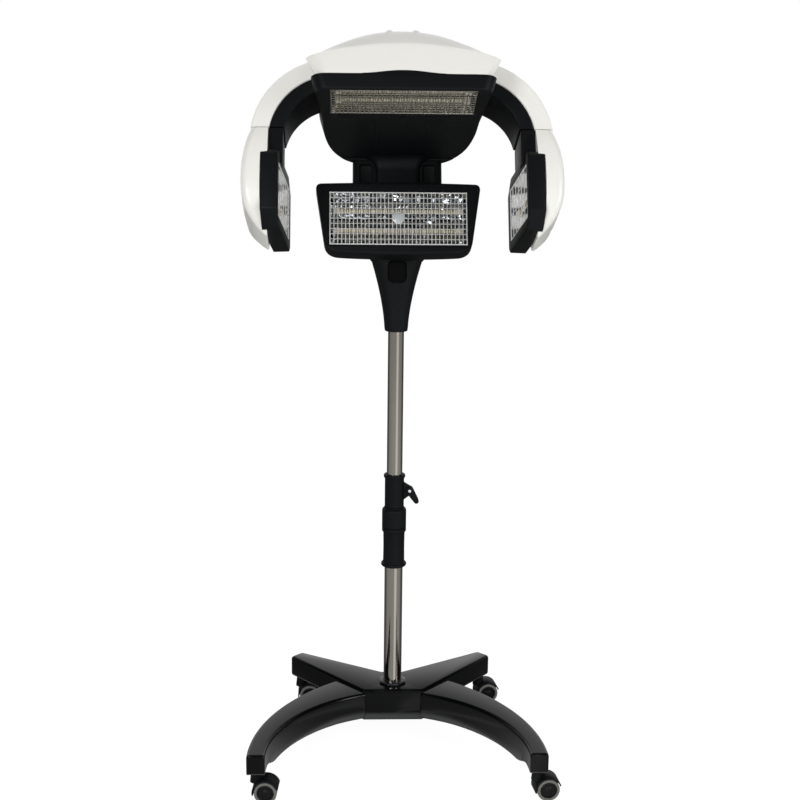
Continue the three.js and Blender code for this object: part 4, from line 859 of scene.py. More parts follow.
def knucklePiece():
    radius, half = columnShape["knuckleRadius"], columnShape["knuckleHalf"]
    knuckle = rod(radius, 2 * half, 64)
    roundEdges(knuckle, 1 * mm, 2)
    moveBy(knuckle, turned("Y", 90))
    bottom = columnShape["bottom"]
    stalk = slab([(-15 * mm, 0), (20 * mm, 0), (20 * mm, bottom * 0.6), (47 * mm, bottom + 4 * mm),
                  (47 * mm, bottom + 8 * mm), (12 * mm, bottom + 8 * mm), (-15 * mm, bottom * 0.6)], 2 * half)
    roundEdges(stalk, 1.5 * mm, 2)
    moveBy(stalk, shifted(half, 0, 0) @ turned("Z", -90) @ turned("X", 90))
    return joinAll(knuckle, stalk)


underside = joinAll(panPiece(), columnPiece(), spinePiece(), knucklePiece())
finishPiece(moveBy(underside, headPlace), "innerShell", blackAbs, "head", ["inner_shell"])
print("underside closed")


# Hood: a steep fascia up to an arched crease, then a long roof back to the column, over leaning side walls
def hoodHalf(back):
    length = hoodShape["front"] - hoodShape["rear"]
    drawn = max(back - hoodShape["straight"], 0) / (length - hoodShape["straight"])
    narrow = hoodShape["frontHalf"] - hoodShape["rearHalf"] - hoodShape["taper"]
    half = hoodShape["frontHalf"] - hoodShape["taper"] * min(back / hoodShape["straight"], 1)
    return (1 + hoodShape["flare"]) * (half - narrow * (1 - math.sqrt(1 - drawn ** 2)))


# Height of the roof's middle line above the hood's foot
def roofRise(back):
    crease, crest = hoodShape["creaseBack"], hoodShape["crestBack"]
    if back < crest:
        t = (back - crease) / (crest - crease)
        return hoodShape["creaseRise"] + (hoodShape["rise"] - hoodShape["creaseRise"]) * (1 - (1 - t) ** 1.5)
    t = (back - crest) / (hoodShape["front"] - hoodShape["rear"] - crest)
    return hoodShape["rise"] - (hoodShape["rise"] - hoodShape["rearRise"]) * t ** 1.7


# How far the plan is drawn back near its front corners
def cornerBack(share):
    near = max(abs(share) - hoodShape["cornerFrom"], 0) / (1 - hoodShape["cornerFrom"])
    return hoodShape["corner"] * (1 - math.sqrt(1 - 0.96 * near ** 2))


# The front corners of the brow stand out beyond the walls
def browOut(back):
    return hoodShape["browOut"] * max(1 - back / hoodShape["browRun"], 0) ** 2


# Its lower edge arches up in the middle, over a black strip that belongs to the pan
def browLift(share):
    return hoodShape["browLift"] * (1 - min(abs(share) * 2.2, 1) ** 2) ** 2


def browStrip():
    half, rows = hoodShape["frontHalf"] * (1 + hoodShape["flare"]), [[], []]
    for step in range(61):
        share = hoodShape["stripHalf"] * (step / 30 - 1)
        place = (share * half, -hoodShape["front"] + cornerBack(share) - 0.2 * mm)
        rows[0].append(place + (panTop - 1 * mm,))
        rows[1].append(place + (panTop + hoodShape["seam"] + 1.6 * browLift(share) - 0.2 * mm,))
    strip = skin(rows, False, False)
    addModifier(strip, "SOLIDIFY", thickness=hoodShape["stripSheet"], offset=0)
    return strip


def hoodVolume(grow, across, sideSteps=8):
    foot, front = panTop + hoodShape["seam"] - grow, hoodShape["front"] + grow
    length = hoodShape["front"] - hoodShape["rear"]
    shares = [-1 + 2 * i / across for i in range(across + 1)]
    backs = [hoodShape["creaseBack"] + (length - hoodShape["creaseBack"]) * (i / 60) ** 1.3 for i in range(61)]

    # From the foot out to the shoulder, where wall and roof meet
    def wallPoint(sign, back, step):
        t = step / sideSteps
        far = back / length
        shoulder = hoodShape["shoulder"] + (hoodShape["rearShoulder"] - hoodShape["shoulder"]) * far
        half = hoodHalf(back) + grow
        lean = 1 - (1 - t) * hoodShape["flare"] * 0.9
        fallBack = max(back - hoodShape["creaseBack"] * (1 - t), 0) if back <= hoodShape["creaseBack"] else back
        half = half * lean + browOut(back) * t
        return (sign * half, -front + fallBack + cornerBack(1) * (1 - far) ** 12, foot + shoulder * t + grow * t)

    def roofPoint(share, back):
        far = back / length
        shoulder = wallPoint(1, back, sideSteps)[2]
        x = share * (hoodHalf(back) + browOut(back) + grow)
        swell = 1 - hoodShape["swell"] * min((back - hoodShape["creaseBack"]) / hoodShape["swellRun"], 1)
        up = shoulder + (foot + roofRise(back) + grow - shoulder) * (1 - abs(share) ** (2 + 0.6 * far)) ** swell
        ribs = sum(math.exp(-((x - side * hoodShape["ribOut"]) / hoodShape["ribHalf"]) ** 4) for side in (-1, 1))
        along = math.exp(-((back - hoodShape["ribBack"]) / hoodShape["ribReach"]) ** 4)
        return (x, -front + back + cornerBack(share) * (1 - far) ** 12, up + hoodShape["ribHeight"] * ribs * along)

    rows = []
    for back in backs:
        left = [wallPoint(-1, back, step) for step in range(sideSteps)]
        right = [wallPoint(1, back, step) for step in reversed(range(sideSteps))]
        floorLine = [(-share * left[0][0], left[0][1], foot) for share in shares[-2:0:-1]]
        rows.append(left + [roofPoint(share, back) for share in shares] + right + floorLine)
    shell = skin(rows, True, False)

    # The fascia's rows run from the foot line up to the crease, and end on the walls' front edges
    fascia = []
    top = [roofPoint(share, backs[0]) for share in shares]
    base = [(share * abs(rows[0][0][0]), -front + cornerBack(share), foot) for share in shares]
    wide, narrow = hoodShape["tongueHalf"]
    for step in range(sideSteps + 1):
        t = step / sideSteps
        row = []
        for share, low, high in zip(shares, base, top):
            x = low[0] + (high[0] - low[0]) * t
            brow = browLift(share) * (1 - t)
            beside = (abs(x) - wide + (wide - narrow) * t) / hoodShape["tongueEdge"]
            tongue = hoodShape["tongueProud"] / (1 + math.exp(beside)) * min(4 * t * (1 - t), 1)
            up = low[2] + (high[2] - low[2]) * t
            row.append((x, low[1] + (high[1] - low[1]) * t ** 1.3 - tongue, up + brow))
        row[0], row[-1] = rows[0][step], (-rows[0][step][0],) + tuple(rows[0][step][1:])
        fascia.append(row)
    face = skin(fascia, False, False)
    hood = joinAll(shell, face)
    openEdit(hood)
    bpy.ops.mesh.remove_doubles(threshold=0.05 * mm)
    bpy.ops.mesh.fill_holes(sides=0)
    closeEdit()
    return hood


hood = hoodVolume(0, 220)
roundEdges(hood, hoodShape["edge"], 3, 28)
hoodCutter = hoodVolume(0.5 * mm, 60)
panCutter = skin([panRing(-0.4 * mm, hoodShape["underside"] - 0.4 * mm), panRing(-0.4 * mm, panTop + 2 * mm)])
finishPiece(moveBy(hood, headPlace), "hoodCover", whiteAbs, "head", ["hood_cover"], 40)
finishPiece(moveBy(browStrip(), headPlace), "browStrip", blackAbs, "head")
print("hood on")

# Rear cover with the timer panel and its keys

rearShape = {
    "depth": 34 * mm, "edge": 16 * mm, "corner": 20 * mm, "low": 50 * mm, "high": 202.3 * mm, "gap": 0.3 * mm,
    "switchUp": 84 * mm, "switchRoom": (12.2 * mm, 8.2 * mm),
    "panel": (120 * mm, 74 * mm, 3 * mm), "panelUp": 150 * mm, "window": (58 * mm, 24 * mm), "windowUp": 16 * mm,
    "keyRadius": 6 * mm, "keySpacing": 22 * mm, "keyRows": (-9 * mm, -25 * mm),
}
rearFace = -columnShape["rear"] + rearShape["depth"]


def rearCoverPiece():
    wide, tall, edge = 2 * hoodShape["rearHalf"], rearShape["high"] - rearShape["low"], rearShape["edge"]
    middle = (rearShape["low"] + rearShape["high"]) / 2
    rows = []
    for step in range(13):
        turn = math.pi / 2 * step / 12
        inset = edge * (1 - math.cos(turn))
        depth = rearShape["depth"] - edge + edge * math.sin(turn)
        outline = roundedOutline(wide - 2 * inset, tall - 2 * inset, max(rearShape["corner"] - inset, 4 * mm))
        rows.append([(x, -columnShape["rear"] + depth, y + middle) for x, y in outline])
    front = [(x, -columnShape["rear"] + rearShape["gap"], z) for x, y, z in rows[0]]
    cover = skin([front] + rows)
    half, rise = rearShape["switchRoom"]
    room = block((-half, rearFace - 6 * mm, rearShape["switchUp"] - rise),
                 (half, rearFace + 20 * mm, rearShape["switchUp"] + rise))
    return carve(cover, room)


def panelPlate(size, depth, radius, up, proud):
    plate = slab(roundedOutline(*size, radius), depth)
    roundEdges(plate, depth * 0.3, 2)
    return moveBy(plate, headPlace @ shifted(0, rearFace + proud, up) @ turned("X", -90))


def keyPiece(x, up):
    radius = rearShape["keyRadius"]
    key = lathe([(0, 0), (radius, 0), (radius, 1.2 * mm), (radius * 0.8, 2 * mm), (0, 1.7 * mm)], 32)
    return moveBy(key, headPlace @ shifted(x, rearFace + rearShape["panel"][2] + 0.5 * mm, up) @ turned("X", -90))


finishPiece(moveBy(rearCoverPiece(), headPlace), "rearCover", whiteAbs, "head", ["rear_cover"])
finishPiece(panelPlate(rearShape["panel"][:2], rearShape["panel"][2], 8 * mm, rearShape["panelUp"], 0.4 * mm),
            "controlPanel", panelFoil, "head", ["control_panel"])
finishPiece(panelPlate(rearShape["window"], 1 * mm, 3 * mm, rearShape["panelUp"] + rearShape["windowUp"],
                       rearShape["panel"][2] + 0.2 * mm), "timerWindow", displayGlass, "head")
for row, up in enumerate(rearShape["keyRows"]):
    for column in range(4):
        key = keyPiece((column - 1.5) * rearShape["keySpacing"], rearShape["panelUp"] + up)
        finishPiece(key, f"timerKey_{row}_{column}", keySilicone, "head")
rocker = cadCopy("power_switch")
roundEdges(rocker, 0.6 * mm, 2)
finishPiece(rocker, "powerSwitch", blackNylon, "rocker", ["power_switch"])
print("controls in place")

# Lamps: each is drawn flat, facing up at z = 0 with its length along x, then turned into its place

lampShape = {
    "grilleDepth": 3 * mm, "gap": 0.3 * mm, "tubeRadius": 4.5 * mm, "tubeSpacing": 42 * mm, "endSlope": 16 * mm,
    "ridge": 0.5, "sheet": 0.8 * mm, "cap": (13 * mm, 11 * mm, 12 * mm),
}
wireShape = {
    "upright": 0.9 * mm, "cross": 0.7 * mm, "rim": 1.3 * mm, "bite": 0.1 * mm,
    "close": (8 * mm, 11 * mm), "open": (26 * mm, 26 * mm),  # spacing of uprights and of rungs
}


# A pressed tray: one curved channel behind every tube, a ridge between them, rounded ends
def reflectorPiece(wide, tall, depth, channels):
    profile = []
    pitch = tall / channels
    for channel in range(channels):
        middle = (channel - (channels - 1) / 2) * pitch
        for step in range(17):
            t = -1 + step / 8
            outer = channels == 1 or (channel == 0) == (t < 0)
            climb = 1 if outer else lampShape["ridge"]
            profile.append((middle + t * pitch / 2, -depth * (1 - climb * abs(t) ** 3)))
    rows = []
    for step in range(7):
        turn = math.pi / 2 * step / 6
        x = -wide / 2 + lampShape["endSlope"] * (1 - math.cos(turn))
        rows.append([(x, y, z * math.sin(turn)) for y, z in profile])
    rows += [[(-x, y, z) for x, y, z in row] for row in reversed(rows)]
    tray = skin(rows, False, False)
    addModifier(tray, "SOLIDIFY", thickness=lampShape["sheet"], offset=0)
    return tray


def quartzPiece(length):
    tube = rod(lampShape["tubeRadius"], length, 40)
    roundEdges(tube, 1.5 * mm, 3)
    return moveBy(tube, turned("Y", 90))


def tubeEnds(length):
    wide, tall, long = lampShape["cap"]
    ends = []
    for side in sideSign.values():
        end = slab(roundedOutline(wide, tall, 3 * mm, 4), long)
        roundEdges(end, 0.8 * mm, 2)
        ends.append(moveBy(end, shifted(side * (length - long) / 2 - long / 2, 0, 0) @ turned("Y", 90)))
    return joinAll(*ends)


# Parallel wires side by side, evenly filling the span between the rim wires
def wireRow(radius, length, span, pitch):
    count = round(span / pitch)
    wire = moveBy(rod(radius, length, 8), shifted(-span / 2 + span / count, 0, 0) @ turned("X", 90))
    addModifier(wire, "ARRAY", count=count - 1, use_relative_offset=False, use_constant_offset=True,
                constant_offset_displace=(span / count, 0, 0))
    return wire


# Welded wire: close uprights over wider rungs, all ending on a rim wire
def grillePiece(wide, tall, pitch, rung):
    rim = wireShape["rim"]
    across, high = wide - 2 * rim, tall - 2 * rim
    uprights = moveBy(wireRow(wireShape["upright"], high, across, pitch), shifted(0, 0, -wireShape["upright"]))
    drop = 2 * wireShape["upright"] + wireShape["cross"] - wireShape["bite"]
    rungs = moveBy(wireRow(wireShape["cross"], across, high, rung), shifted(0, 0, -drop) @ turned("Z", 90))
    sides = []
    for side in sideSign.values():
        sides.append(moveBy(rod(rim, across + 2 * rim, 12), shifted(0, side * high / 2, -rim) @ turned("Y", 90)))
        sides.append(moveBy(rod(rim, high + 2 * rim, 12), shifted(side * across / 2, 0, -rim) @ turned("X", 90)))
    return joinAll(uprights, rungs, *sides)


def fitLamp(name, node, place, size, tubes, body, sheet, wire, mesh):
    gap, front = lampShape["gap"], lampShape["grilleDepth"]
    wide, tall, deep = size[0] - 2 * gap, size[1] - 2 * gap, size[2] - front - 2 * gap
    behind = place @ shifted(0, 0, -front - gap)
    tray = reflectorPiece(wide - 1 * mm, tall - 1 * mm, deep - 0.5 * mm, tubes)
    finishPiece(moveBy(tray, behind), name + "Reflector", sheet, body, [node + "_reflector"], 60)
    reach = wide - 2 * lampShape["endSlope"] * 0.6
    for index in range(tubes):
        seat = behind @ shifted(0, (index - (tubes - 1) / 2) * lampShape["tubeSpacing"], -deep / 2)
        finishPiece(moveBy(quartzPiece(reach), seat), f"{name}Tube_{index + 1}", quartzCoil, body,
                    [f"{node}_tube_{index + 1}"])
        finishPiece(moveBy(tubeEnds(reach + 1 * mm), seat), f"{name}TubeEnds_{index + 1}", ceramicEnd, body)
    grille = moveBy(grillePiece(wide, tall, *wireShape[mesh]), place)
    finishPiece(grille, name + "Grille", wire, body, [node + "_grille"], 60)


crownPlace = headPlace @ shifted(0, -topLampShape["forward"], hoodShape["underside"]) @ turned("X", 180)
crownSize = [topLampShape[key] for key in ("width", "length", "depth")]
fitLamp("topLamp", "top_lamp", crownPlace, crownSize, 2, "head", brownedSheet, dullSteel, "close")

napeShape = {
    "face": 104 * mm, "depth": 45 * mm, "gap": 0.3 * mm, "topHalf": 169.5 * mm, "bottomHalf": 148.5 * mm,
    "height": 151 * mm, "centre": 61 * mm, "corner": 12 * mm, "crown": 5 * mm, "edge": 5 * mm,
    "lamp": (284 * mm, 114 * mm, 38 * mm), "step": (10 * mm, 0.8 * mm), "sensorRadius": 12.5 * mm,
}
napePlace = headPlace @ shifted(0, -napeShape["face"], napeShape["centre"]) @ turned("X", 90)


# A curve from start to end, drawn towards the middle point
def bow(start, middle, end):
    start, middle, end = Vector(start), Vector(middle), Vector(end)
    shares = [i / 12 for i in range(13)]
    return [tuple(start * (1 - t) ** 2 + middle * 2 * t * (1 - t) + end * t * t) for t in shares]


# Right half of the housing from the middle of its foot up to the middle of its crown, then its mirror image
def napeOutline():
    top, bottom, half = napeShape["topHalf"], napeShape["bottomHalf"], napeShape["height"] / 2
    corner, low, crown = napeShape["corner"], 2.2 * napeShape["corner"], half + napeShape["crown"] / 2
    right = bow((0, -half - 1 * mm), (bottom * 0.5, -half - 1 * mm), (bottom - low, -half + 2 * mm))
    right += bow((bottom - low, -half + 2 * mm), (bottom, -half + 4 * mm), (bottom + 4 * mm, -half + low))[1:]
    right += bow((top, half - corner), (top, half), (top - corner, half))
    right += bow((top - corner, half), (top * 0.5, crown), (0, crown))[1:]
    return right + [(-x, y) for x, y in right[-2:0:-1]]


def napePiece():
    wide, tall, deep = napeShape["lamp"]
    thick = napeShape["depth"] - napeShape["gap"]
    body = moveBy(slab(napeOutline(), thick), shifted(0, 0, -thick))
    roundEdges(body, napeShape["edge"], 5, 50)
    pocket = slab(roundedOutline(wide, tall, 2 * mm, 3), 2 * deep)
    carve(body, moveBy(pocket, shifted(0, 0, -deep)))
    # A shallow step round the grille, where the wire rim is let in
    more, drop = napeShape["step"]
    step = slab(roundedOutline(wide + more, tall + more, 6 * mm, 5), 8 * mm)
    return carve(body, moveBy(step, shifted(0, 0, -drop)))


def sensorPiece():
    radius = napeShape["sensorRadius"]
    bezel = [(radius, 3 * mm), (radius - 0.6 * mm, 3.8 * mm), (radius - 1.6 * mm, 4 * mm),
             (radius - 2 * mm, 3.6 * mm), (radius - 2 * mm, 2 * mm)]
    return lathe([(0, 0.3 * mm), (radius, 0.3 * mm)] + bezel + [(0, 2 * mm)], 48)


def sensorLens():
    radius = napeShape["sensorRadius"] - 2.2 * mm
    turns = [math.pi / 2 * i / 8 for i in reversed(range(9))]
    dome = [(radius * math.sin(turn), 3 * mm + 2 * mm * math.cos(turn)) for turn in turns]
    return lathe([(0, 2.1 * mm), (radius, 2.1 * mm)] + dome, 48)


finishPiece(moveBy(napePiece(), napePlace), "napeHousing", blackAbs, "head", ["nape_housing"])
fitLamp("napeLamp", "nape_lamp", napePlace, napeShape["lamp"], 2, "head", reflectorSheet, brightSteel, "close")
finishPiece(moveBy(sensorPiece(), napePlace), "napeSensor", brightSteel, "head", ["nape_sensor"])
finishPiece(moveBy(sensorLens(), napePlace), "napeSensorLens", opalGlass, "head")
print("lamps wired")

# Arms curve down from the hood, each carrying a hinged lamp unit

armShape = {
    "out": 124 * mm, "up": 148 * mm, "outer": 170 * mm, "split": 134 * mm, "inner": 106 * mm, "sweep": (-10, 96),
    "front": 312 * mm, "depth": 112 * mm, "seam": 8.5, "edge": 6 * mm, "hingeInset": 6 * mm, "knuckle": 36 * mm,
    "gap": 1.2 * mm, "slip": 0.3 * mm,
}
sideShape = {
    "face": 228.5 * mm, "toe": 6, "thick": 33 * mm, "length": 188 * mm, "height": 150 * mm, "bottom": -34 * mm,
    "forward": 256 * mm, "corner": 30 * mm, "lamp": (150 * mm, 108 * mm, 30 * mm), "bridgeDrop": 14 * mm,
    "coverOut": 308 * mm, "coverBottom": -42 * mm, "curlOut": 46 * mm, "curlEnds": 36 * mm, "draw": 0.35,
    "coverCorner": 14 * mm, "coverGap": 0.4 * mm, "coverRoom": 30 * mm,
    "ribPitch": 9 * mm, "ribs": 7, "ribHeight": 1.3 * mm, "ribReach": 42 * mm, "ribMiddle": 28 * mm,
}
seam = math.radians(armShape["seam"])
hingeOut = armShape["out"] + (armShape["outer"] - armShape["hingeInset"]) * math.cos(seam)
hingeUp = armShape["up"] + (armShape["outer"] - armShape["hingeInset"]) * math.sin(seam)
armRear = armShape["front"] - armShape["depth"]
armMiddle = (armShape["front"] + armRear) / 2
seamTop = hingeUp - armShape["gap"] / 2
endRoll = (armShape["depth"] - armShape["knuckle"]) / 2 - armShape["edge"] - armShape["gap"]
endRollAhead = (armShape["knuckle"] + endRoll + armShape["gap"]) / 2


def hingeRoll(radius, length, ahead):
    return moveBy(rod(radius, length, 32), shifted(hingeOut, -armMiddle - ahead, hingeUp) @ turned("X", 90))


def armBand(outer, inner, edge):
    centre, (start, end) = (armShape["out"], armShape["up"]), armShape["sweep"]
    band = slab(arc(*centre, outer, start, end, 60) + arc(*centre, inner, end, start, 60), armShape["depth"])
    roundEdges(band, edge, 4, 60)
    moveBy(band, shifted(0, -armRear, 0) @ turned("X", 90))
    below = block((0, -armShape["front"] - 1, hingeUp - 1), (1, 1, hingeUp + armShape["gap"] / 2))
    return carve(band, below, copyOf(hoodCutter), copyOf(panCutter))


def armShellPiece():
    gap, slip, inset = armShape["gap"], armShape["slip"], armShape["hingeInset"]
    shell = armBand(armShape["outer"], armShape["split"] + slip, armShape["edge"])
    carve(shell, hingeRoll(inset + gap, armShape["knuckle"] + gap, 0))
    return joinAll(shell, *[hingeRoll(inset - slip, endRoll, side * endRollAhead) for side in (-1, 1)])


def armFramePiece():
    return armBand(armShape["split"], armShape["inner"], armShape["edge"] / 2)


# Place of the right lamp unit: x along its length to the front, y up, z towards the client's head
sidePlace = (shifted(sideShape["face"], -sideShape["forward"], sideShape["bottom"] + sideShape["height"] / 2)
             @ turned("Z", sideShape["toe"]) @ Matrix(((0, 0, -1, 0), (-1, 0, 0, 0), (0, 1, 0, 0), (0, 0, 0, 1))))


# A plate with two small and two wide chamfers, the wide ones at the lower front and upper rear
def sideOutline(grow):
    half, tall = sideShape["length"] / 2 + grow, sideShape["height"] / 2 + grow
    wide, small = sideShape["corner"], sideShape["corner"] / 3
    return [(half, tall - small), (half - small, tall), (-half + wide, tall), (-half, tall - wide),
            (-half, -tall + small), (-half + small, -tall), (half - wide, -tall), (half, -tall + wide)]


def sideHousingPiece():
    wide, tall, deep = sideShape["lamp"]
    body = slab(sideOutline(0), sideShape["thick"])
    roundEdges(body, 2.5 * mm, 3)
    moveBy(body, sidePlace @ shifted(0, 0, -sideShape["thick"]))
    # A black bridge carries the arm's frame on, down to the housing
    top = sideShape["bottom"] + sideShape["height"] - sideShape["bridgeDrop"]
    bridge = block((armShape["out"] + armShape["inner"], -armShape["front"], top),
                   (armShape["out"] + armShape["split"], -armRear, seamTop))
    roundEdges(bridge, 3 * mm, 3)
    carve(body, bridge, operation="UNION")
    pocket = slab(roundedOutline(wide, tall, 2 * mm, 3), 2 * deep)
    return carve(body, moveBy(pocket, sidePlace @ shifted(0, 0, -deep)))


# Level ribs pressed into the cover's outer face, fading out to the front and rear
def ventRelief(up, forward):
    reach = sideShape["ribs"] * sideShape["ribPitch"] / 2
    offset = up - sideShape["ribMiddle"]
    if abs(offset) > reach:
        return 0
    wave = 0.5 - 0.5 * math.cos(2 * math.pi * (offset + reach) / sideShape["ribPitch"])
    return sideShape["ribHeight"] * wave * math.exp(-((forward - sideShape["forward"]) / sideShape["ribReach"]) ** 8)


# Outline of the cover at a height: it swells below the seam, then curls in under the housing
def coverRing(up):
    swell = (seamTop + sideShape["coverBottom"]) / 2
    above, below = max(up - swell, 0) / (seamTop - swell), max(swell - up, 0) / (swell - sideShape["coverBottom"])
    seamOut = armShape["out"] + armShape["outer"] * math.cos(seam)
    out = sideShape["coverOut"] - (sideShape["coverOut"] - seamOut) * above ** 2 - sideShape["curlOut"] * below ** 3
    grow, curl = 1 - above ** 2 - sideShape["draw"] * below ** 2, sideShape["curlEnds"] * below ** 3
    front = armShape["front"] + (sideShape["forward"] + sideShape["length"] / 2 - armShape["front"]) * grow - curl
    rear = armRear - (armRear - sideShape["forward"] + sideShape["length"] / 2) * grow + curl
    base = armShape["out"] + armShape["split"] + armShape["slip"]
    corner = min((out - base) * 0.6, sideShape["coverCorner"])
    ring = [(base, -front)] + arc(out - corner, -front + corner, corner, -90, 0, 8)
    for step in range(1, 24):
        forward = front - corner - (front - rear - 2 * corner) * step / 24
        ring.append((out + ventRelief(up, forward), -forward))
    ring += arc(out - corner, -rear - corner, corner, 0, 90, 8) + [(base, -rear)]
    return [(x, y, up) for x, y in ring]


def sideCoverPiece():
    drop = seamTop - sideShape["coverBottom"]
    rows = [coverRing(seamTop)] + [coverRing(seamTop - drop * step / 150) for step in range(2, 151)]
    cover = skin(rows)
    loose, more = sideShape["coverGap"], sideShape["coverRoom"]
    half, tall, thick = sideShape["length"] / 2, sideShape["height"] / 2 + loose, sideShape["thick"]
    room = slab(sideOutline(loose), thick + more)
    ahead = block((half - 1 * mm, -tall, 0), (half + more, tall, thick + more))
    carve(room, ahead, operation="UNION")
    moveBy(room, sidePlace @ shifted(0, 0, -thick - loose))
    gap, inset = armShape["gap"], armShape["hingeInset"]
    carve(cover, room, *[hingeRoll(inset + gap, endRoll + gap, side * endRollAhead) for side in (-1, 1)])
    return joinAll(cover, hingeRoll(inset - armShape["slip"], armShape["knuckle"] - gap, 0))


for side, sign in sideSign.items():
    place = headPlace if sign > 0 else headPlace @ mirrorX
    body = "side_" + side
    shell, armFrame = moveBy(armShellPiece(), place), moveBy(armFramePiece(), place)
    finishPiece(shell, "armShell_" + side, whiteAbs, "head", ["arm_shell_" + side])
    finishPiece(armFrame, "armFrame_" + side, blackAbs, "head", ["arm_frame_" + side])
    cover, housing = moveBy(sideCoverPiece(), place), moveBy(sideHousingPiece(), place)
    finishPiece(cover, "sideCover_" + side, whiteAbs, body, ["side_cover_" + side])
    finishPiece(housing, "sideHousing_" + side, blackAbs, body, ["side_housing_" + side])
    fitLamp(f"side{side.title()}Lamp", f"side_lamp_{side}", place @ sidePlace, sideShape["lamp"], 1, body,
            satinSheet, brightSteel, "open")
bpy.data.objects.remove(hoodCutter)
bpy.data.objects.remove(panCutter)
print("arms and side lamps hung")

# Small parts that keep their CAD form get their material here
for node, finish in (("guide_bush", blackNylon), ("swivel_bush", blackNylon), ("tilt_pin", brightSteel),
                     ("hinge_pin_left", brightSteel), ("hinge_pin_right", brightSteel)):
    frame["nodes"][node].data.materials.clear()
    frame["nodes"][node].data.materials.append(finish)

# Floor, light and camera

roomShape = {
    "floorSize": 14, "floorDrop": 0.5 * mm, "floorColour": "#f4f4f3", "floorGlow": 0.86, "floorLevel": 1.1,
    "ambient": 0.5, "ceiling": 0.12, "studioFront": 0.05,
    # Degrees round from the front, and how bright gloss sees the floor there
    "floorSheen": ((-180, 0.02), (-115, 0.03), (-92, 0.3), (6, 0.36), (14, 0.95), (34, 0.95), (48, 0.34), (92, 0.3),
                   (112, 0.02)),
    # Watts, width and height, place and target, in metres
    "softboxes": {
        "keySoftbox": (43, (0.9, 1.6), (-1.5, -3.1, 1.9), (0, 0, 0.9)),
        "fillSoftbox": (27, (0.7, 1.8), (2.4, -1.8, 1.6), (0, 0, 0.8)),
        "topSoftbox": (5, (2.0, 1.4), (0, 0.2, 3.2), (0, 0, 0.8)),
        "stripSoftbox": (7, (0.3, 2.2), (0.6, -3.4, 1.5), (0, 0, 0.9)),
    },
}
cameraShape = {
    "lens": 67.5, "sensor": 36, "place": (-0.126, -3.056, 1.491), "pitch": 13, "azimuth": -2.33, "roll": 0.65,
}


# One for every ray of the kinds named, and nought for the rest
def seenDirectly(tree, *kinds):
    path = addNode(tree, "ShaderNodeLightPath")
    total = path.outputs[kinds[0]]
    for kind in kinds[1:]:
        joined = addNode(tree, "ShaderNodeMath", {"operation": "MAXIMUM"}, {0: total, 1: path.outputs[kind]})
        total = joined.outputs["Value"]
    return total


# What gloss sees of the floor, by the direction from the pole: dark cards at the sides, one bright card in front
def floorSheen(tree):
    place = addNode(tree, "ShaderNodeTexCoord")
    spot = addNode(tree, "ShaderNodeSeparateXYZ", links={"Vector": place.outputs["Object"]})
    ahead = addNode(tree, "ShaderNodeMath", {"operation": "MULTIPLY", 1: -1}, {0: spot.outputs["Y"]})
    angle = addNode(tree, "ShaderNodeMath", {"operation": "ARCTAN2"}, {0: spot.outputs["X"], 1: ahead.outputs["Value"]})
    share = addNode(tree, "ShaderNodeMapRange", {"From Min": -math.pi, "From Max": math.pi},
                    {"Value": angle.outputs["Value"]})
    # The ramp's own two stops make way for the stops listed
    ramp = addNode(tree, "ShaderNodeValToRGB", links={"Fac": share.outputs["Result"]})
    ramp.color_ramp.elements.remove(ramp.color_ramp.elements[1])
    for degrees, level in roomShape["floorSheen"]:
        stop = ramp.color_ramp.elements.new((degrees + 180) / 360)
        stop.color = (level, level, level, 1)
    ramp.color_ramp.elements.remove(ramp.color_ramp.elements[0])
    return ramp.outputs["Color"]


# White paper floor: the eye sees it white and reflections see it dimmer, with the object's shadow left in
def floorFinish():
    finish = newFinish("studioFloor", {"Base Color": linear(roomShape["floorColour"]), "Roughness": 0.9})
    tree = finish.node_tree
    seen = seenDirectly(tree, "Is Camera Ray", "Is Glossy Ray", "Is Transmission Ray")
    share = addNode(tree, "ShaderNodeMath", {"operation": "MULTIPLY", 1: roomShape["floorGlow"]}, {0: seen})
    level = addNode(tree, "ShaderNodeMix", {"data_type": "FLOAT", "B": roomShape["floorLevel"]},
                    {"Factor": seenDirectly(tree, "Is Camera Ray"), "A": floorSheen(tree)})
    glow = addNode(tree, "ShaderNodeEmission", {"Color": (1, 1, 1, 1)}, {"Strength": level.outputs["Result"]})
    mix = addNode(tree, "ShaderNodeMixShader", links={
        "Fac": share.outputs["Value"], 1: tree.nodes["Principled BSDF"].outputs["BSDF"], 2: glow.outputs["Emission"]})
    tree.links.new(mix.outputs["Shader"], tree.nodes["Material Output"].inputs["Surface"])
    return finish


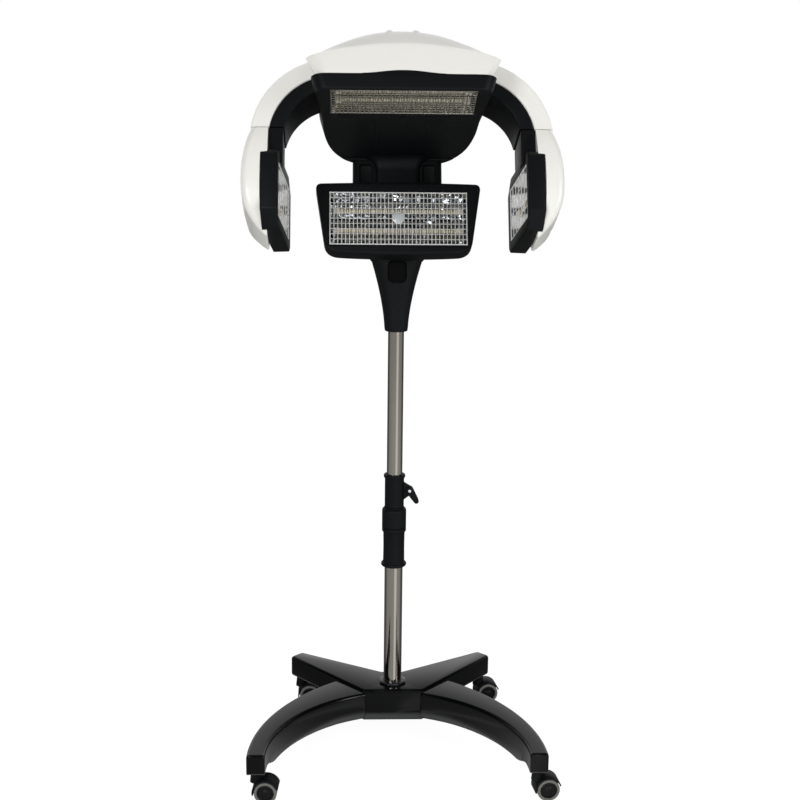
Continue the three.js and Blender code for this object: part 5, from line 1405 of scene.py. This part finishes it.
# White backdrop for the eye. Gloss shows the white behind the object and a dim studio in front and above
def studioWorld():
    world = bpy.data.worlds.new("studioWorld")
    world.use_nodes = True
    tree = world.node_tree
    place = addNode(tree, "ShaderNodeTexCoord")
    way = addNode(tree, "ShaderNodeSeparateXYZ", links={"Vector": place.outputs["Generated"]})
    behind = addNode(tree, "ShaderNodeMapRange", {
        "From Min": 0.2, "From Max": 0.9, "To Min": roomShape["studioFront"], "To Max": 1}, {"Value": way.outputs["Y"]})
    level = addNode(tree, "ShaderNodeMapRange", {
        "From Min": 0.3, "From Max": 0.75, "To Min": 1, "To Max": roomShape["ceiling"]}, {"Value": way.outputs["Z"]})
    backdrop = addNode(tree, "ShaderNodeMath", {"operation": "MULTIPLY"},
                       {0: behind.outputs["Result"], 1: level.outputs["Result"]})
    mirrored = addNode(tree, "ShaderNodeMix", {"data_type": "FLOAT", "A": roomShape["ambient"]}, {
        "Factor": seenDirectly(tree, "Is Glossy Ray", "Is Transmission Ray"), "B": backdrop.outputs["Value"]})
    strength = addNode(tree, "ShaderNodeMix", {"data_type": "FLOAT", "B": 1}, {
        "Factor": seenDirectly(tree, "Is Camera Ray"), "A": mirrored.outputs["Result"]})
    sky = tree.nodes["Background"]
    sky.inputs["Color"].default_value = (1, 1, 1, 1)
    tree.links.new(strength.outputs["Result"], sky.inputs["Strength"])
    return world


def addSoftbox(name, power, size, place, target):
    bpy.ops.object.light_add(type="AREA", location=place)
    lamp = bpy.context.object
    lamp.name = name
    lamp.data.energy = power
    lamp.data.shape = "RECTANGLE"
    lamp.data.size, lamp.data.size_y = size
    aim = Vector(target) - Vector(place)
    lamp.rotation_euler = aim.to_track_quat("-Z", "Y").to_euler()


deselectAll()
bpy.ops.mesh.primitive_plane_add(size=roomShape["floorSize"], location=(0, 0, -roomShape["floorDrop"]))
floor = bpy.context.object
floor.name = "studioFloor"
floor.data.materials.append(floorFinish())
for name, setting in roomShape["softboxes"].items():
    addSoftbox(name, *setting)
bpy.context.scene.world = studioWorld()

bpy.ops.object.camera_add(location=cameraShape["place"])
camera = bpy.context.object
camera.data.lens = cameraShape["lens"]
camera.data.sensor_width = cameraShape["sensor"]
aim = turned("Z", cameraShape["azimuth"]) @ turned("X", 90 - cameraShape["pitch"]) @ turned("Z", cameraShape["roll"])
camera.rotation_euler = aim.to_euler()
bpy.context.scene.camera = camera
bpy.context.scene.view_settings.view_transform = "Standard"
print("studio lit")
